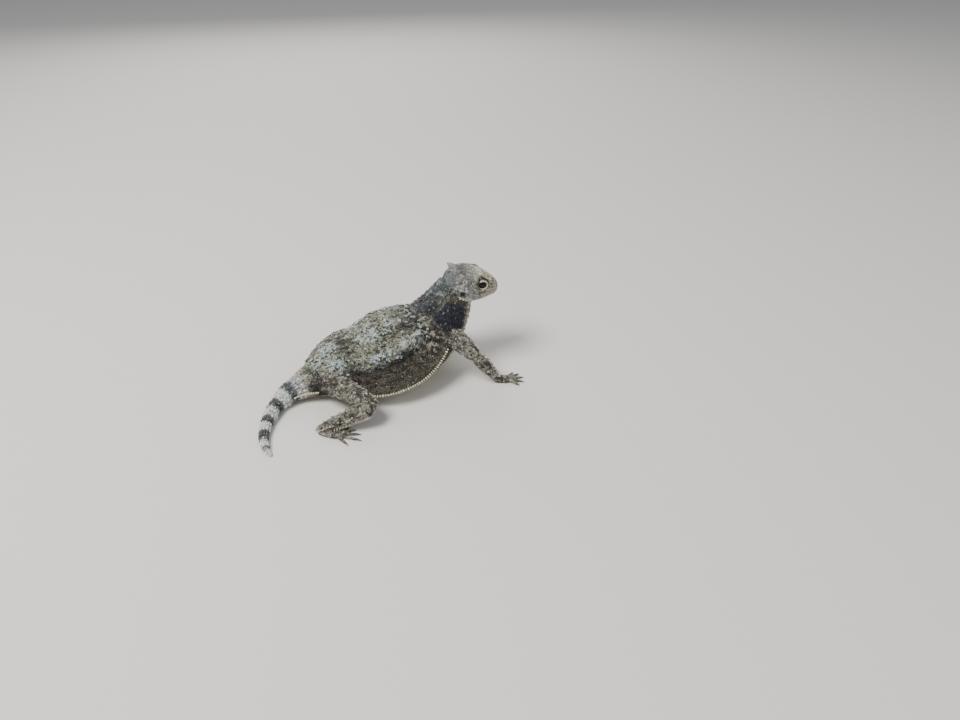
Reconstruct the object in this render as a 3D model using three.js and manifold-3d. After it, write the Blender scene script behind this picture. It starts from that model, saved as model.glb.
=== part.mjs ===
// A round-tailed horned lizard, life size, standing with its chest raised on its fore legs.
// Millimetres, +X the way the trunk faces, +Y the animal's left, +Z up, the floor at z = 0.
// Every piece is drawn from the same few tables: stations along the back and the head, and the joints
// of the four legs. The origin ends up under the middle of the animal, on the floor.
import * as THREE from "three";
import { mergeVertices } from "three/addons/utils/BufferGeometryUtils.js";
import Module from "manifold-3d";

const wasm = await Module();
wasm.setup();

// Gap kept between two pieces that meet, and the depth to which a scale's root is sunk
const GAP = 0.3;
const SINK = 0.4;
const DEGREE = Math.PI / 180;
const RIGHT = -1;
const LEFT = 1;
const SIDES = [RIGHT, LEFT];

// One row for each station along the back, tail tip first:
// x, y, z of the centre, half width, height above it, depth below it, sharpness of the flank's edge
const SPINE = [
  [-14.9, -22.4, 0.35, 0.4, 0.4, 0.4, 0],
  [-15.5, -19.4, 0.7, 0.8, 0.8, 0.8, 0],
  [-15.4, -16.1, 0.95, 1.05, 1.05, 1.05, 0],
  [-14.5, -12.8, 1.15, 1.25, 1.25, 1.25, 0],
  [-13.1, -9.4, 1.35, 1.45, 1.45, 1.45, 0],
  [-11.2, -6.2, 1.6, 1.7, 1.7, 1.7, 0],
  [-8.8, -3.5, 2.0, 2.0, 2.0, 2.05, 0],
  [-5.9, -1.5, 2.6, 2.65, 2.5, 2.4, 0.1],
  [-2.6, -0.4, 3.1, 3.8, 3.3, 2.8, 0.3],
  [1.0, 0, 3.5, 5.3, 4.8, 2.9, 0.5],
  [5.0, 0, 3.7, 7.6, 7.2, 2.9, 0.7],
  [9.5, 0, 3.8, 10.4, 9.0, 2.8, 0.9],
  [14.0, 0, 3.9, 13.2, 9.7, 2.8, 1],
  [18.5, 0, 4.3, 15.0, 10.5, 3.0, 1],
  [23.0, 0, 5.1, 15.6, 11.6, 3.4, 1],
  [27.5, 0, 6.0, 15.2, 12.0, 3.9, 1],
  [32.0, 0, 7.5, 13.6, 11.6, 4.8, 1],
  [36.0, 0, 9.4, 11.3, 11.3, 6.0, 0.8],
  [39.3, 0, 12.4, 9.1, 10.8, 6.4, 0.4],
  [41.8, 0, 16.6, 7.4, 8.9, 6.1, 0.1],
  [43.6, 0.1, 20.4, 6.4, 6.6, 5.4, 0],
  [45.2, 0.2, 23.6, 5.7, 5.0, 4.6, 0],
];
// Places in the table above: where the back is parted, the tail's white bands, and where the
// comb of small scales runs along the flank, clear of the folded thigh, and along the tail's root
const TAIL_SPLIT = 5.6;
const TAIL_ROOT = 8.5;
const NECK_ROOT = 18.6;
const TAIL_BANDS = [1.42, 3.15, 4.75, 6.4, 8.0];
const FLANK_COMB = { right: [11.9, 17.3, 22], left: [13.4, 17.3, 16] };
const TAIL_COMB = [6.9, 8.4];

// The head in its own frame: x forward from the occiput, z up from the line of the mouth,
// then how deep the mouth's line and how high the brow are there
const HEAD = [
  [-1.5, 0, 0.5, 4.2, 2.6, 2.9, 0, 0],
  [0.3, 0, 0.2, 5.8, 3.8, 3.5, 0, 0.3],
  [2.4, 0, 0, 6.7, 4.4, 3.8, 0, 0.8],
  [4.6, 0, 0, 6.6, 4.6, 3.8, 0.6, 1],
  [6.8, 0, 0, 5.9, 4.5, 3.5, 1, 1],
  [8.8, 0, 0, 4.9, 4.0, 3.0, 1, 0.8],
  [10.6, 0, 0, 3.8, 3.2, 2.5, 1, 0.2],
  [12.0, 0, 0, 2.9, 2.4, 2.0, 1, 0],
  [12.9, 0, 0.1, 2.1, 1.7, 1.4, 0.8, 0],
  [13.3, 0, 0.15, 1.2, 0.9, 0.8, 0, 0],
];
const HEAD_PLACE = new THREE.Vector3(43.8, 0.2, 25.0);
const HEAD_YAW = -9 * DEGREE;
const HEAD_NOD = 11 * DEGREE;
const EYE = new THREE.Vector3(7.2, 4.2, 2.25);
const EYE_RADIUS = 1.45;
const LID = 0.45;
const LID_OPENING = new THREE.Vector3(1.1, 1.7, 0.85);
// Horns: root and direction on the left side of the head, length and radius at the root
const HORNS = {
  occipital: [new THREE.Vector3(0.5, 1.9, 3.9), new THREE.Vector3(-0.7, 0.2, 0.65), 1.8, 0.8],
  temporal: [new THREE.Vector3(0.8, 4.8, 2.9), new THREE.Vector3(-0.75, 0.5, 0.35), 1.8, 0.8],
};

// Legs: the joints, in millimetres, and the way the foot points; each shin ends over its foot
const LEGS = {
  hind_right: {
    root: [3.5, -2.5, 6.2], bend: [12.7, -20.8, 5.8], end: [-1.8, -18.6, 1.4], bow: 0, heading: -33,
  },
  hind_left: {
    root: [3.5, 3.0, 6.2], bend: [17.4, 18.0, 5.6], end: [4.2, 14.9, 1.4], bow: 1.8, heading: 26,
  },
  fore_right: {
    root: [39.5, -5.0, 13.6], bend: [44.7, -14.3, 8.4], end: [49.8, -16.6, 1.4], bow: 0, heading: -14,
  },
  fore_left: {
    root: [39.5, 5.0, 13.6], bend: [40.7, 15.9, 9.0], end: [44.3, 17.9, 1.4], bow: 0, heading: 30,
  },
};
// Flesh on the bones: the share of the way along the bone and the limb's radius there
const FLESH = {
  hind: {
    upper: [[0, 3.3], [0.3, 3.3], [0.58, 3.0], [0.82, 2.4], [0.95, 1.7], [1.02, 0.5]],
    lower: [[-0.03, 0.6], [0.08, 1.95], [0.3, 2.2], [0.58, 1.85], [0.82, 1.45], [0.97, 1.1], [1.04, 0.4]],
    palm: [[-0.02, 0.7], [0.24, 1.4], [0.55, 1.8], [0.85, 1.7], [1, 1.1]],
    palmLength: 6.2,
    toes: [[3.0, 48], [4.2, 28], [5.6, 10], [6.4, -8], [4.2, -38]],
  },
  fore: {
    upper: [[0, 2.9], [0.35, 2.9], [0.62, 2.6], [0.85, 2.2], [0.97, 1.6], [1.03, 0.5]],
    lower: [[-0.05, 0.6], [0.08, 1.8], [0.3, 1.95], [0.6, 1.6], [0.85, 1.3], [1, 0.9], [1.05, 0.4]],
    palm: [[-0.1, 0.6], [0.15, 1.3], [0.5, 1.7], [0.83, 1.6], [1, 0.9]],
    palmLength: 4.6,
    toes: [[2.8, 52], [3.7, 27], [4.2, 4], [4.0, -20], [3.0, -46]],
  },
};
const FOOT_HEIGHT = 1.1;
const TOE_RADIUS = 0.5;
// How far a sole would reach under the floor, where it is cut flat
const SOLE = 0.15;

// The same numbers in every run
function dice(seed) {
  let state = seed;
  return (low, high) => {
    state = (state * 1664525 + 1013904223) % 4294967296;
    return low + ((high - low) * state) / 4294967296;
  };
}

// A row of numbers read smoothly between the stations of a table
class Track {
  constructor(rows) {
    this.rows = rows;
    this.last = rows.length - 1;
  }
  at(u) {
    const i = Math.min(Math.floor(u), this.last - 1);
    const t = u - i;
    const b = this.rows[i];
    const c = this.rows[i + 1];
    const a = this.rows[i - 1] ?? b.map((v, k) => 2 * v - c[k]);
    const d = this.rows[i + 2] ?? c.map((v, k) => 2 * v - b[k]);
    return b.map((_, k) => {
      const m0 = (c[k] - a[k]) / 2;
      const m1 = (d[k] - b[k]) / 2;
      const cubic = 2 * b[k] - 2 * c[k] + m0 + m1;
      const square = -3 * b[k] + 3 * c[k] - 2 * m0 - m1;
      return ((cubic * t + square) * t + m0) * t + b[k];
    });
  }
  // Centre, and the directions forward, left and up, at one place
  frame(u) {
    const step = 0.02;
    const here = this.at(u);
    const ahead = this.at(Math.min(u + step, this.last));
    const behind = this.at(Math.max(u - step, 0));
    const forward = new THREE.Vector3(...ahead).sub(new THREE.Vector3(...behind)).normalize();
    const left = new THREE.Vector3(0, 0, 1).cross(forward).normalize();
    const up = forward.clone().cross(left);
    return { centre: new THREE.Vector3(...here), forward, left, up, size: here.slice(3) };
  }
}

const signedPower = (v, power) => Math.sign(v) * Math.abs(v) ** power;
const bell = (x, centre, width) => Math.exp(-(((x - centre) / width) ** 2));

// How the skin swells: each takes the height round the section, -90 to 90 degrees from the belly to
// the back, what the table says for that station beyond the sizes, and the place along the track
const even = () => 1;
// The flank has a sharp edge at its widest line, a hollow over that, and the back's fold
const flank = (height, [edge]) =>
  1 + edge * (0.045 * bell(height, 0, 9) - 0.05 * bell(height, 17, 12) + 0.03 * bell(height, 42, 14));
// The tail is a string of low beads, widest at each white band
const beads = (height, extra, u) => 1 + 0.13 * TAIL_BANDS.slice(0, 4).reduce((sum, v) => sum + bell(u, v, 0.42), 0);
// The face has the mouth's line with a lip each side of it, and a brow
const face = (height, [mouth, brow]) =>
  1 + mouth * (0.02 * bell(height, 0, 8) - 0.08 * bell(height, 0, 1.8)) + 0.07 * brow * bell(height, 42, 15);

// Squareness of a cross-section: 1 is an ellipse, smaller is boxier
const ROUND = { across: 1, along: 1, swell: even };
const TAIL = { across: 1, along: 1, swell: beads };
const TRUNK = { across: 0.92, along: 0.88, swell: flank };
const SKULL = { across: 0.72, along: 0.74, swell: face };

// Angles round a section, from 0 at the left side through 90 degrees at the top
const ring = (sides) => Array.from({ length: sides }, (_, j) => (j / sides) * 2 * Math.PI);
// Closer together at the line of the mouth
const FACE_HEIGHTS = [-90, -64, -42, -24, -10, -2.4, 0, 2.4, 10, 24, 37, 50, 64, 78];
const FACE_RING = [
  ...FACE_HEIGHTS.slice(6),
  ...[90, ...FACE_HEIGHTS.toReversed()].map((h) => 180 - h),
  ...FACE_HEIGHTS.slice(1, 6).map((h) => 360 + h),
].map((angle) => angle * DEGREE);

// A point of the skin
function skin(track, u, angle, shape, grow = 0) {
  const { centre, left, up, size } = track.frame(u);
  const [width, above, below, ...extra] = size;
  const c = Math.cos(angle);
  const s = Math.sin(angle);
  const swell = shape.swell(Math.asin(s) / DEGREE, extra, u);
  const across = (width * swell + grow) * signedPower(c, shape.across);
  const height = ((s > 0 ? above : below) * swell + grow) * signedPower(s, shape.along);
  return centre.addScaledVector(left, across).addScaledVector(up, height);
}

// A closed body from rings of skin points between two places on a track
function loft(track, from, to, rings, angles, shape = ROUND, grow = 0) {
  const points = [];
  const sides = angles.length;
  for (let i = 0; i <= rings; i++) {
    const u = from + ((to - from) * i) / rings;
    angles.forEach((angle) => points.push(skin(track, u, angle, shape, grow)));
  }
  const start = points.push(track.frame(from).centre) - 1;
  const end = points.push(track.frame(to).centre) - 1;
  const index = [];
  for (let j = 0; j < sides; j++) {
    const k = (j + 1) % sides;
    for (let i = 0; i < rings; i++) {
      const a = i * sides + j;
      const b = i * sides + k;
      index.push(a, b, a + sides, b, b + sides, a + sides);
    }
    index.push(start, k, j, end, rings * sides + j, rings * sides + k);
  }
  return solidOf(new THREE.BufferGeometry().setFromPoints(points).setIndex(index));
}

// A three.js geometry as a solid that can be joined and cut
function solidOf(geometry) {
  const bare = geometry.clone();
  bare.deleteAttribute("normal");
  bare.deleteAttribute("uv");
  const merged = mergeVertices(bare, 1e-4);
  return new wasm.Manifold(
    new wasm.Mesh({
      numProp: 3,
      vertProperties: new Float32Array(merged.attributes.position.array),
      triVerts: new Uint32Array(merged.index.array),
    }),
  );
}

const union = (solids) => solids.reduce((whole, next) => whole.add(next));
const largest = (solid) =>
  solid.decompose().reduce((best, next) => (next.volume() > best.volume() ? next : best));
const overFloor = (solid) => solid.trimByPlane([0, 0, 1], 0);
const placed = (solid, matrix) => solid.transform(matrix.elements);

// A pointed scale: four sides, its root under the skin and its tip leaning back
function scale(root, outward, back, length, width, lean) {
  const along = back.clone().addScaledVector(outward, -back.dot(outward)).normalize();
  const side = outward.clone().cross(along);
  const base = root.clone().addScaledVector(outward, -SINK);
  const corner = (a, b) => base.clone().addScaledVector(along, a * width).addScaledVector(side, b * width);
  const tip = root.clone().addScaledVector(outward, length).addScaledVector(along, lean);
  const points = [corner(-1, 0), corner(0, 1), corner(1, 0), corner(0, -1), tip];
  const faces = [0, 1, 2, 0, 2, 3, 1, 0, 4, 2, 1, 4, 3, 2, 4, 0, 3, 4];
  return solidOf(new THREE.BufferGeometry().setFromPoints(points).setIndex(faces));
}

// The skin's own outward direction
function outwardAt(track, u, angle, shape) {
  const step = 0.04;
  const root = skin(track, u, angle, shape);
  const round = skin(track, u, angle + step, shape).sub(root);
  const onward = skin(track, u + step, angle, shape).sub(root);
  return round.cross(onward).normalize();
}

// A pointed scale on the skin of a track, leaning towards its start
function scaleOn(track, u, angle, shape, length, width, lean) {
  const root = skin(track, u, angle, shape);
  const back = track.frame(u).forward.negate();
  return scale(root, outwardAt(track, u, angle, shape), back, length, width, lean);
}

// A line of scales between two places of a track, along one angle
function row(track, [from, to], count, angle, shape, length, width, lean) {
  return Array.from({ length: count }, (_, i) => {
    const share = count > 1 ? i / (count - 1) : 0.5;
    const taper = 0.72 + 0.28 * Math.sin(share * Math.PI);
    const u = from + (to - from) * share;
    return scaleOn(track, u, angle, shape, length * taper, width, lean);
  });
}

const spine = new Track(SPINE);
const head = new Track(HEAD);

// Half a gap at a place along the back, as a step in the table
function half(u) {
  const step = 0.05;
  const a = new THREE.Vector3(...spine.at(u - step));
  const b = new THREE.Vector3(...spine.at(u + step));
  return (GAP / 2) * ((2 * step) / a.distanceTo(b));
}
const cutBefore = (u) => u - half(u);
const cutAfter = (u) => u + half(u);

// The side of the body an angle stands for: 0 on the left, half a turn on the right
const flankAngle = (side) => (side === LEFT ? 0 : Math.PI);

// Tail: two lengths of one bead string, with a ring of low scales on each bead
function tail(from, to, rings, sides, bands) {
  const scales = bands.flatMap((u) =>
    [25, 65, 115, 155].map((angle) => scaleOn(spine, u, angle * DEGREE, TAIL, 0.45, 0.45, 0.3)),
  );
  return overFloor(union([loft(spine, from, to, rings, ring(sides), TAIL), ...scales]));
}
const tailComb = SIDES.flatMap((side) => row(spine, TAIL_COMB, 5, flankAngle(side), TAIL, 0.75, 0.4, 0.3));

// Torso: the disc of the trunk, the comb along each flank, and low spines strewn over the back
function backSpines() {
  const draw = dice(11);
  const spines = [];
  for (let u = 9.5; u < 18.3; u += 1.05) {
    const clearOfThighs = u > 12.4;
    for (const angle of clearOfThighs ? [38, 68, 112, 142] : [72, 108]) {
      const place = [u + draw(-0.3, 0.3), (angle + draw(-9, 9)) * DEGREE];
      spines.push(scaleOn(spine, ...place, TRUNK, draw(0.5, 0.85), draw(0.55, 0.75), 0.6));
    }
  }
  return spines;
}
const combs = SIDES.flatMap((side) => {
  const [from, to, count] = side === RIGHT ? FLANK_COMB.right : FLANK_COMB.left;
  return row(spine, [from, to], count, flankAngle(side), TRUNK, 0.8, 0.42, 0.25);
});
const torsoCore = loft(spine, cutAfter(TAIL_ROOT), cutBefore(NECK_ROOT), 24, ring(28), TRUNK);
const torso = union([torsoCore, ...combs, ...backSpines()]);
const bodyGrown = loft(spine, TAIL_ROOT, spine.last, 26, ring(24), TRUNK, GAP);

// Neck: up to the skull's back, with a few pointed scales on its side folds
const headFrame = new THREE.Matrix4().makeRotationFromEuler(new THREE.Euler(0, HEAD_NOD, HEAD_YAW, "ZYX"));
headFrame.setPosition(HEAD_PLACE);
const skullGrown = placed(loft(head, 0, head.last, 12, ring(20), SKULL, GAP), headFrame);
const neckScales = SIDES.flatMap((side) => [
  scaleOn(spine, 19.3, (90 - side * 62) * DEGREE, TRUNK, 0.8, 0.6, 0.5),
  scaleOn(spine, 19.5, (90 - side * 86) * DEGREE, TRUNK, 0.9, 0.6, 0.5),
]);
const neckCore = loft(spine, cutAfter(NECK_ROOT), spine.last, 6, ring(24), TRUNK);
const neck = union([neckCore, ...neckScales]).subtract(skullGrown);

// Head, in its own frame
function ball(centre, radius, stretch = new THREE.Vector3(1, 1, 1), sides = 12) {
  const geometry = new THREE.SphereGeometry(radius, sides, Math.round(sides * 0.6));
  geometry.scale(...stretch.toArray()).translate(...centre.toArray());
  return solidOf(geometry);
}
const onSide = (place, side) => new THREE.Vector3(place.x, side * place.y, place.z);

// A horn of eight sides on a stump of the skull; the two stay a gap apart
function horn(root, direction, length, radius) {
  const aim = direction.clone().normalize();
  const turn = new THREE.Quaternion().setFromUnitVectors(new THREE.Vector3(0, 1, 0), aim);
  const along = (geometry, start) =>
    solidOf(geometry.applyQuaternion(turn).translate(...root.clone().addScaledVector(aim, start).toArray()));
  const buried = 1.4;
  const stump = new THREE.CylinderGeometry(radius, radius * 1.15, buried, 8).translate(0, -buried / 2, 0);
  const profile = [[0, 0], [radius, 0], [radius * 0.72, length * 0.5], [0, length]];
  const point = new THREE.LatheGeometry(profile.map(([r, y]) => new THREE.Vector2(r, y)), 8);
  return { stump: along(stump, 0.25), point: along(point, 0.25 + GAP) };
}

function headAndHorns() {
  const added = [loft(head, 0, head.last, 17, FACE_RING, SKULL)];
  const removed = [];
  const horns = {};
  const eyes = {};
  for (const side of SIDES) {
    const word = side === RIGHT ? "right" : "left";
    const at = (height) => (side === LEFT ? height : 180 - height) * DEGREE;
    for (const [kind, [root, direction, length, radius]] of Object.entries(HORNS)) {
      const { stump, point } = horn(onSide(root, side), onSide(direction, side), length, radius);
      added.push(stump);
      horns["horn_" + kind + "_" + word] = point;
    }
    const eye = onSide(EYE, side);
    added.push(ball(eye, EYE_RADIUS + GAP + LID));
    removed.push(ball(eye, EYE_RADIUS + GAP));
    const opening = eye.clone().add(new THREE.Vector3(0, side * EYE_RADIUS, 0));
    removed.push(ball(opening, 1, LID_OPENING, 12));
    eyes["eye_" + word] = ball(eye, EYE_RADIUS, undefined, 12);
    // Outer temporal points, brow scales, and the row along the jaw
    added.push(scaleOn(head, 1.55, at(16), SKULL, 1.1, 0.65, 0.8));
    added.push(scaleOn(head, 2.2, at(4), SKULL, 0.8, 0.6, 0.6));
    added.push(...row(head, [2.9, 5.6], 4, at(44), SKULL, 0.5, 0.6, 0.4));
    added.push(...row(head, [1.9, 6.4], 7, at(-22), SKULL, 0.6, 0.42, 0.35));
    // Nostril and ear
    removed.push(ball(skin(head, 7.35, at(48), SKULL), 0.34, undefined, 8));
    const drum = skin(head, 1.75, at(-6), SKULL).addScaledVector(outwardAt(head, 1.75, at(-6), SKULL), 0.35);
    removed.push(ball(drum, 1, new THREE.Vector3(0.7, 0.8, 1.0), 10));
  }
  return { skull: union(added).subtract(union(removed)), horns, eyes };
}

// Legs
const lerp = (a, b, share) => a.clone().lerp(b, share);

// A bone's track: straight, or bowed away from the body at its middle
function bone(from, to, flesh, bow = 0) {
  const outward = Math.sign(to.y) * bow;
  const rows = flesh.map(([share, radius]) => {
    const place = lerp(from, to, share);
    place.y += outward * Math.sin(Math.min(Math.max(share, 0), 1) * Math.PI);
    return [...place.toArray(), radius, radius * 0.96, radius * 0.94];
  });
  return new Track(rows);
}

// A toe lies on the floor, arched a little, and ends in a claw that comes down to it
function toe(start, heading, length) {
  const along = (share, height, size) => {
    const reach = length * share;
    const radius = TOE_RADIUS * size;
    const place = [start.x + Math.cos(heading) * reach, start.y + Math.sin(heading) * reach, height];
    return [...place, radius, radius, radius];
  };
  const rows = [
    along(-0.2, 0.5, 1.05),
    along(0.15, 0.6, 1.1),
    along(0.45, 0.47, 0.95),
    along(0.74, 0.42, 0.85),
    along(0.8, 0.45, 0.5),
    along(1, 0.1, 0.16),
  ];
  return loft(new Track(rows), 0, rows.length - 1, 5, ring(5));
}

function foot(ankle, heading, { palm, palmLength, toes }) {
  const side = Math.sign(ankle.y);
  const forward = new THREE.Vector3(Math.cos(heading), Math.sin(heading), 0);
  const across = new THREE.Vector3(-Math.sin(heading), Math.cos(heading), 0);
  const rows = palm.map(([share, radius]) => {
    const place = ankle.clone().addScaledVector(forward, palmLength * share);
    const height = FOOT_HEIGHT * (1 - 0.5 * share);
    return [place.x, place.y, height * 0.9, radius, height, height + SOLE];
  });
  const solids = [loft(new Track(rows), 0, rows.length - 1, 5, ring(8))];
  toes.forEach(([length, spread], i) => {
    const root = ankle.clone().addScaledVector(forward, palmLength * 0.86);
    root.addScaledVector(across, -side * (1 - i / 2) * 1.15);
    solids.push(toe(root, heading - side * spread * DEGREE, length));
  });
  return overFloor(union(solids));
}

// A joint's cut: the plane that halves the angle between two bones, and the two sides of its gap
function partAt(whole, place, before, after) {
  const normal = after.clone().add(before).normalize();
  const offset = normal.dot(place);
  const near = whole.trimByPlane(normal.clone().negate().toArray(), -(offset - GAP / 2));
  const far = whole.trimByPlane(normal.toArray(), offset + GAP / 2);
  return [largest(near), largest(far)];
}

// Angles round a limb's section where its rows of pale pointed scales stand
const LIMB_SCALES = {
  hind: { upper: [[2.0, 4.3], 5, 12], lower: [[2.2, 4.8], 5, -14] },
  fore: { upper: [[2.2, 4.4], 4, 12], lower: [[1.6, 4.4], 5, 8] },
};

function leg(name) {
  const { root, bend, end, bow, heading } = LEGS[name];
  const kind = name.split("_")[0];
  const [hip, knee, ankle] = [root, bend, end].map((place) => new THREE.Vector3(...place));
  const upper = bone(hip, knee, FLESH[kind].upper, bow);
  const lower = bone(knee, ankle, FLESH[kind].lower);
  const front = hip.y < 0 ? 0 : 180;
  const scalesOf = (track, [reach, count, height]) =>
    row(track, reach, count, (front + (front ? -height : height)) * DEGREE, ROUND, 0.65, 0.5, 0.45);
  const upperSolid = union([loft(upper, 0, upper.last, 9, ring(12)), ...scalesOf(upper, LIMB_SCALES[kind].upper)]);
  const lowerSolid = union([loft(lower, 0, lower.last, 9, ring(10)), ...scalesOf(lower, LIMB_SCALES[kind].lower)]);
  const [thigh, rest] = partAt(
    upperSolid.add(lowerSolid),
    knee,
    upper.frame(3).forward,
    lower.frame(2).forward,
  );
  const cut = lower.frame(lower.last - 1.6);
  const offset = cut.forward.dot(cut.centre);
  const shin = rest.trimByPlane(cut.forward.clone().negate().toArray(), -(offset - GAP / 2));
  const heel = rest.trimByPlane(cut.forward.toArray(), offset + GAP / 2);
  const shinGrown = loft(lower, 1, lower.last - 1.6, 6, ring(10), ROUND, GAP);
  const paw = foot(new THREE.Vector3(ankle.x, ankle.y, 0), heading * DEGREE, FLESH[kind]);
  return {
    upper: largest(thigh.subtract(bodyGrown)),
    lower: overFloor(largest(shin)),
    foot: overFloor(largest(paw.subtract(shinGrown).add(heel))),
  };
}

// Materials
const finish = (color, roughness) => new THREE.MeshStandardMaterial({ color, roughness, metalness: 0 });
const hide = finish(0x9a9684, 0.85);
const paleHide = finish(0xb3aa9a, 0.85);
const bandedHide = finish(0xa9adab, 0.85);
const darkHide = finish(0x4a4a52, 0.85);
const hornStuff = finish(0xb5a98e, 0.6);
const eyeStuff = finish(0x14110d, 0.1);

const lizard = new THREE.Group();
const body = new THREE.Group();
lizard.add(body);

function add(name, solid, material, parent = body) {
  const { numProp, numVert, vertProperties, triVerts } = largest(solid).getMesh();
  const positions = new Float32Array(numVert * 3);
  for (let i = 0; i < numVert; i++) {
    positions.set(vertProperties.subarray(i * numProp, i * numProp + 3), i * 3);
  }
  const geometry = new THREE.BufferGeometry()
    .setAttribute("position", new THREE.BufferAttribute(positions, 3))
    .setIndex(new THREE.BufferAttribute(triVerts, 1));
  const mesh = new THREE.Mesh(geometry, material);
  mesh.name = name;
  parent.add(mesh);
}

add("tail_tip", tail(0, cutBefore(TAIL_SPLIT), 16, 10, TAIL_BANDS.slice(0, 3)), bandedHide);
add("tail_base", union([tail(cutAfter(TAIL_SPLIT), cutBefore(TAIL_ROOT), 10, 14, [6.4]), ...tailComb]), bandedHide);
add("torso", torso, hide);
add("neck", neck, darkHide);

const headGroup = new THREE.Group();
headGroup.applyMatrix4(headFrame);
body.add(headGroup);
const { skull, horns, eyes } = headAndHorns();
add("head", skull, paleHide, headGroup);
for (const [name, solid] of Object.entries(eyes)) add(name, solid, eyeStuff, headGroup);
for (const [name, solid] of Object.entries(horns)) add(name, solid, hornStuff, headGroup);

for (const word of ["right", "left"]) {
  const hind = leg("hind_" + word);
  add("thigh_" + word, hind.upper, hide);
  add("shank_" + word, hind.lower, hide);
  add("hind_foot_" + word, hind.foot, paleHide);
  const fore = leg("fore_" + word);
  add("upper_arm_" + word, fore.upper, hide);
  add("forearm_" + word, fore.lower, hide);
  add("hand_" + word, fore.foot, paleHide);
}

// The origin under the middle of the animal
body.updateMatrixWorld(true);
const middle = new THREE.Box3().setFromObject(body, true).getCenter(new THREE.Vector3());
body.position.set(-middle.x, -middle.y, 0);

export default lizard;
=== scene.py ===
# %% [markdown]
# # A horned lizard, scale by scale
# This lesson dresses a plain, measured lizard in living skin. The plain solids say how big the animal
# is and where every part lies. We load them first, and never move them: all that follows is worked
# out from the same few tables of sizes, so each new piece lands where the solid one is.

# %% Load the measured solids
import math
import bpy
import numpy as np
from mathutils import Euler, Matrix, Vector
from mathutils.kdtree import KDTree


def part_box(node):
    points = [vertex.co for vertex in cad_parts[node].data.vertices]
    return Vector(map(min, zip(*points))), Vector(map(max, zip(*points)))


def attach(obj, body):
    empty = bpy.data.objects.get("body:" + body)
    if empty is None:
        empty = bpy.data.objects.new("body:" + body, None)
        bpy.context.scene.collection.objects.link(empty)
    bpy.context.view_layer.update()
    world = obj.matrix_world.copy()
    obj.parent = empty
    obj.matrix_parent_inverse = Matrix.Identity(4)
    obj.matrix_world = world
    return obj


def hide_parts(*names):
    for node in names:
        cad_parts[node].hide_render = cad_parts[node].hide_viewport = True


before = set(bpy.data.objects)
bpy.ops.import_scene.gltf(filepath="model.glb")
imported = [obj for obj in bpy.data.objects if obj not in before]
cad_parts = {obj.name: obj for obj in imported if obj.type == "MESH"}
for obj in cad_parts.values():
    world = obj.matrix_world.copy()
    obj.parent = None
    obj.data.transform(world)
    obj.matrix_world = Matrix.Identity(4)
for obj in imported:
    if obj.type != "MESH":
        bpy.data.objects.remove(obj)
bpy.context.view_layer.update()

MM = 0.001


# %% [markdown]
# ## The animal's measures
# A reptile's trunk, tail, head and limbs are all bags of skin round a line of bones. They could be
# sculpted by hand, but a sculpture soon drifts away from its measures. So each part is described by
# stations along a line: where the centre is, how wide the part is there, and how far the skin stands
# above and below. The numbers are millimetres, and are the ones the solids were drawn from.

# %% Stations along the back, tail tip first: x, y, z, half width, above, below, edge of the flank
SPINE = [
    [-14.9, -22.4, 0.35, 0.4, 0.4, 0.4, 0],
    [-15.5, -19.4, 0.7, 0.8, 0.8, 0.8, 0],
    [-15.4, -16.1, 0.95, 1.05, 1.05, 1.05, 0],
    [-14.5, -12.8, 1.15, 1.25, 1.25, 1.25, 0],
    [-13.1, -9.4, 1.35, 1.45, 1.45, 1.45, 0],
    [-11.2, -6.2, 1.6, 1.7, 1.7, 1.7, 0],
    [-8.8, -3.5, 2.0, 2.0, 2.0, 2.05, 0],
    [-5.9, -1.5, 2.6, 2.65, 2.5, 2.4, 0.1],
    [-2.6, -0.4, 3.1, 3.8, 3.3, 2.8, 0.3],
    [1.0, 0, 3.5, 5.3, 4.8, 2.9, 0.5],
    [5.0, 0, 3.7, 7.6, 7.2, 2.9, 0.7],
    [9.5, 0, 3.8, 10.4, 9.0, 2.8, 0.9],
    [14.0, 0, 3.9, 13.2, 9.7, 2.8, 1],
    [18.5, 0, 4.3, 15.0, 10.5, 3.0, 1],
    [23.0, 0, 5.1, 15.6, 11.6, 3.4, 1],
    [27.5, 0, 6.0, 15.2, 12.0, 3.9, 1],
    [32.0, 0, 7.5, 13.6, 11.6, 4.8, 1],
    [36.0, 0, 9.4, 11.3, 11.3, 6.0, 0.8],
    [39.3, 0, 12.4, 9.1, 10.8, 6.4, 0.4],
    [41.8, 0, 16.6, 7.4, 8.9, 6.1, 0.1],
    [43.6, 0.1, 20.4, 6.4, 6.6, 5.4, 0],
    [45.2, 0.2, 23.6, 5.7, 5.0, 4.6, 0],
]
# Stations are counted from 0, and a place between two of them is a fraction, such as 8.5.
TAIL_BANDS = [1.42, 3.15, 4.75, 6.4, 8.0]
TAIL_ROOT = 8.5
print("stations along the back:", len(SPINE))

# %% The head in its own frame: x forward from the occiput, z up from the mouth; mouth and brow last
HEAD = [
    [-1.5, 0, 0.5, 4.2, 2.6, 2.9, 0, 0],
    [0.3, 0, 0.2, 5.8, 3.8, 3.5, 0, 0.3],
    [2.4, 0, 0, 6.7, 4.4, 3.8, 0, 0.8],
    [4.6, 0, 0, 6.6, 4.6, 3.8, 0.6, 1],
    [6.8, 0, 0, 5.9, 4.5, 3.5, 1, 1],
    [8.8, 0, 0, 4.9, 4.0, 3.0, 1, 0.8],
    [10.6, 0, 0, 3.8, 3.2, 2.5, 1, 0.2],
    [12.0, 0, 0, 2.9, 2.4, 2.0, 1, 0],
    [12.9, 0, 0.1, 2.1, 1.7, 1.4, 0.8, 0],
    [13.3, 0, 0.15, 1.2, 0.9, 0.8, 0, 0],
]
HEAD_PLACE = (43.8, 0.2, 25.0)
HEAD_YAW, HEAD_NOD = math.radians(-9), math.radians(11)
EYE = np.array([7.2, 4.2, 2.25])
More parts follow.
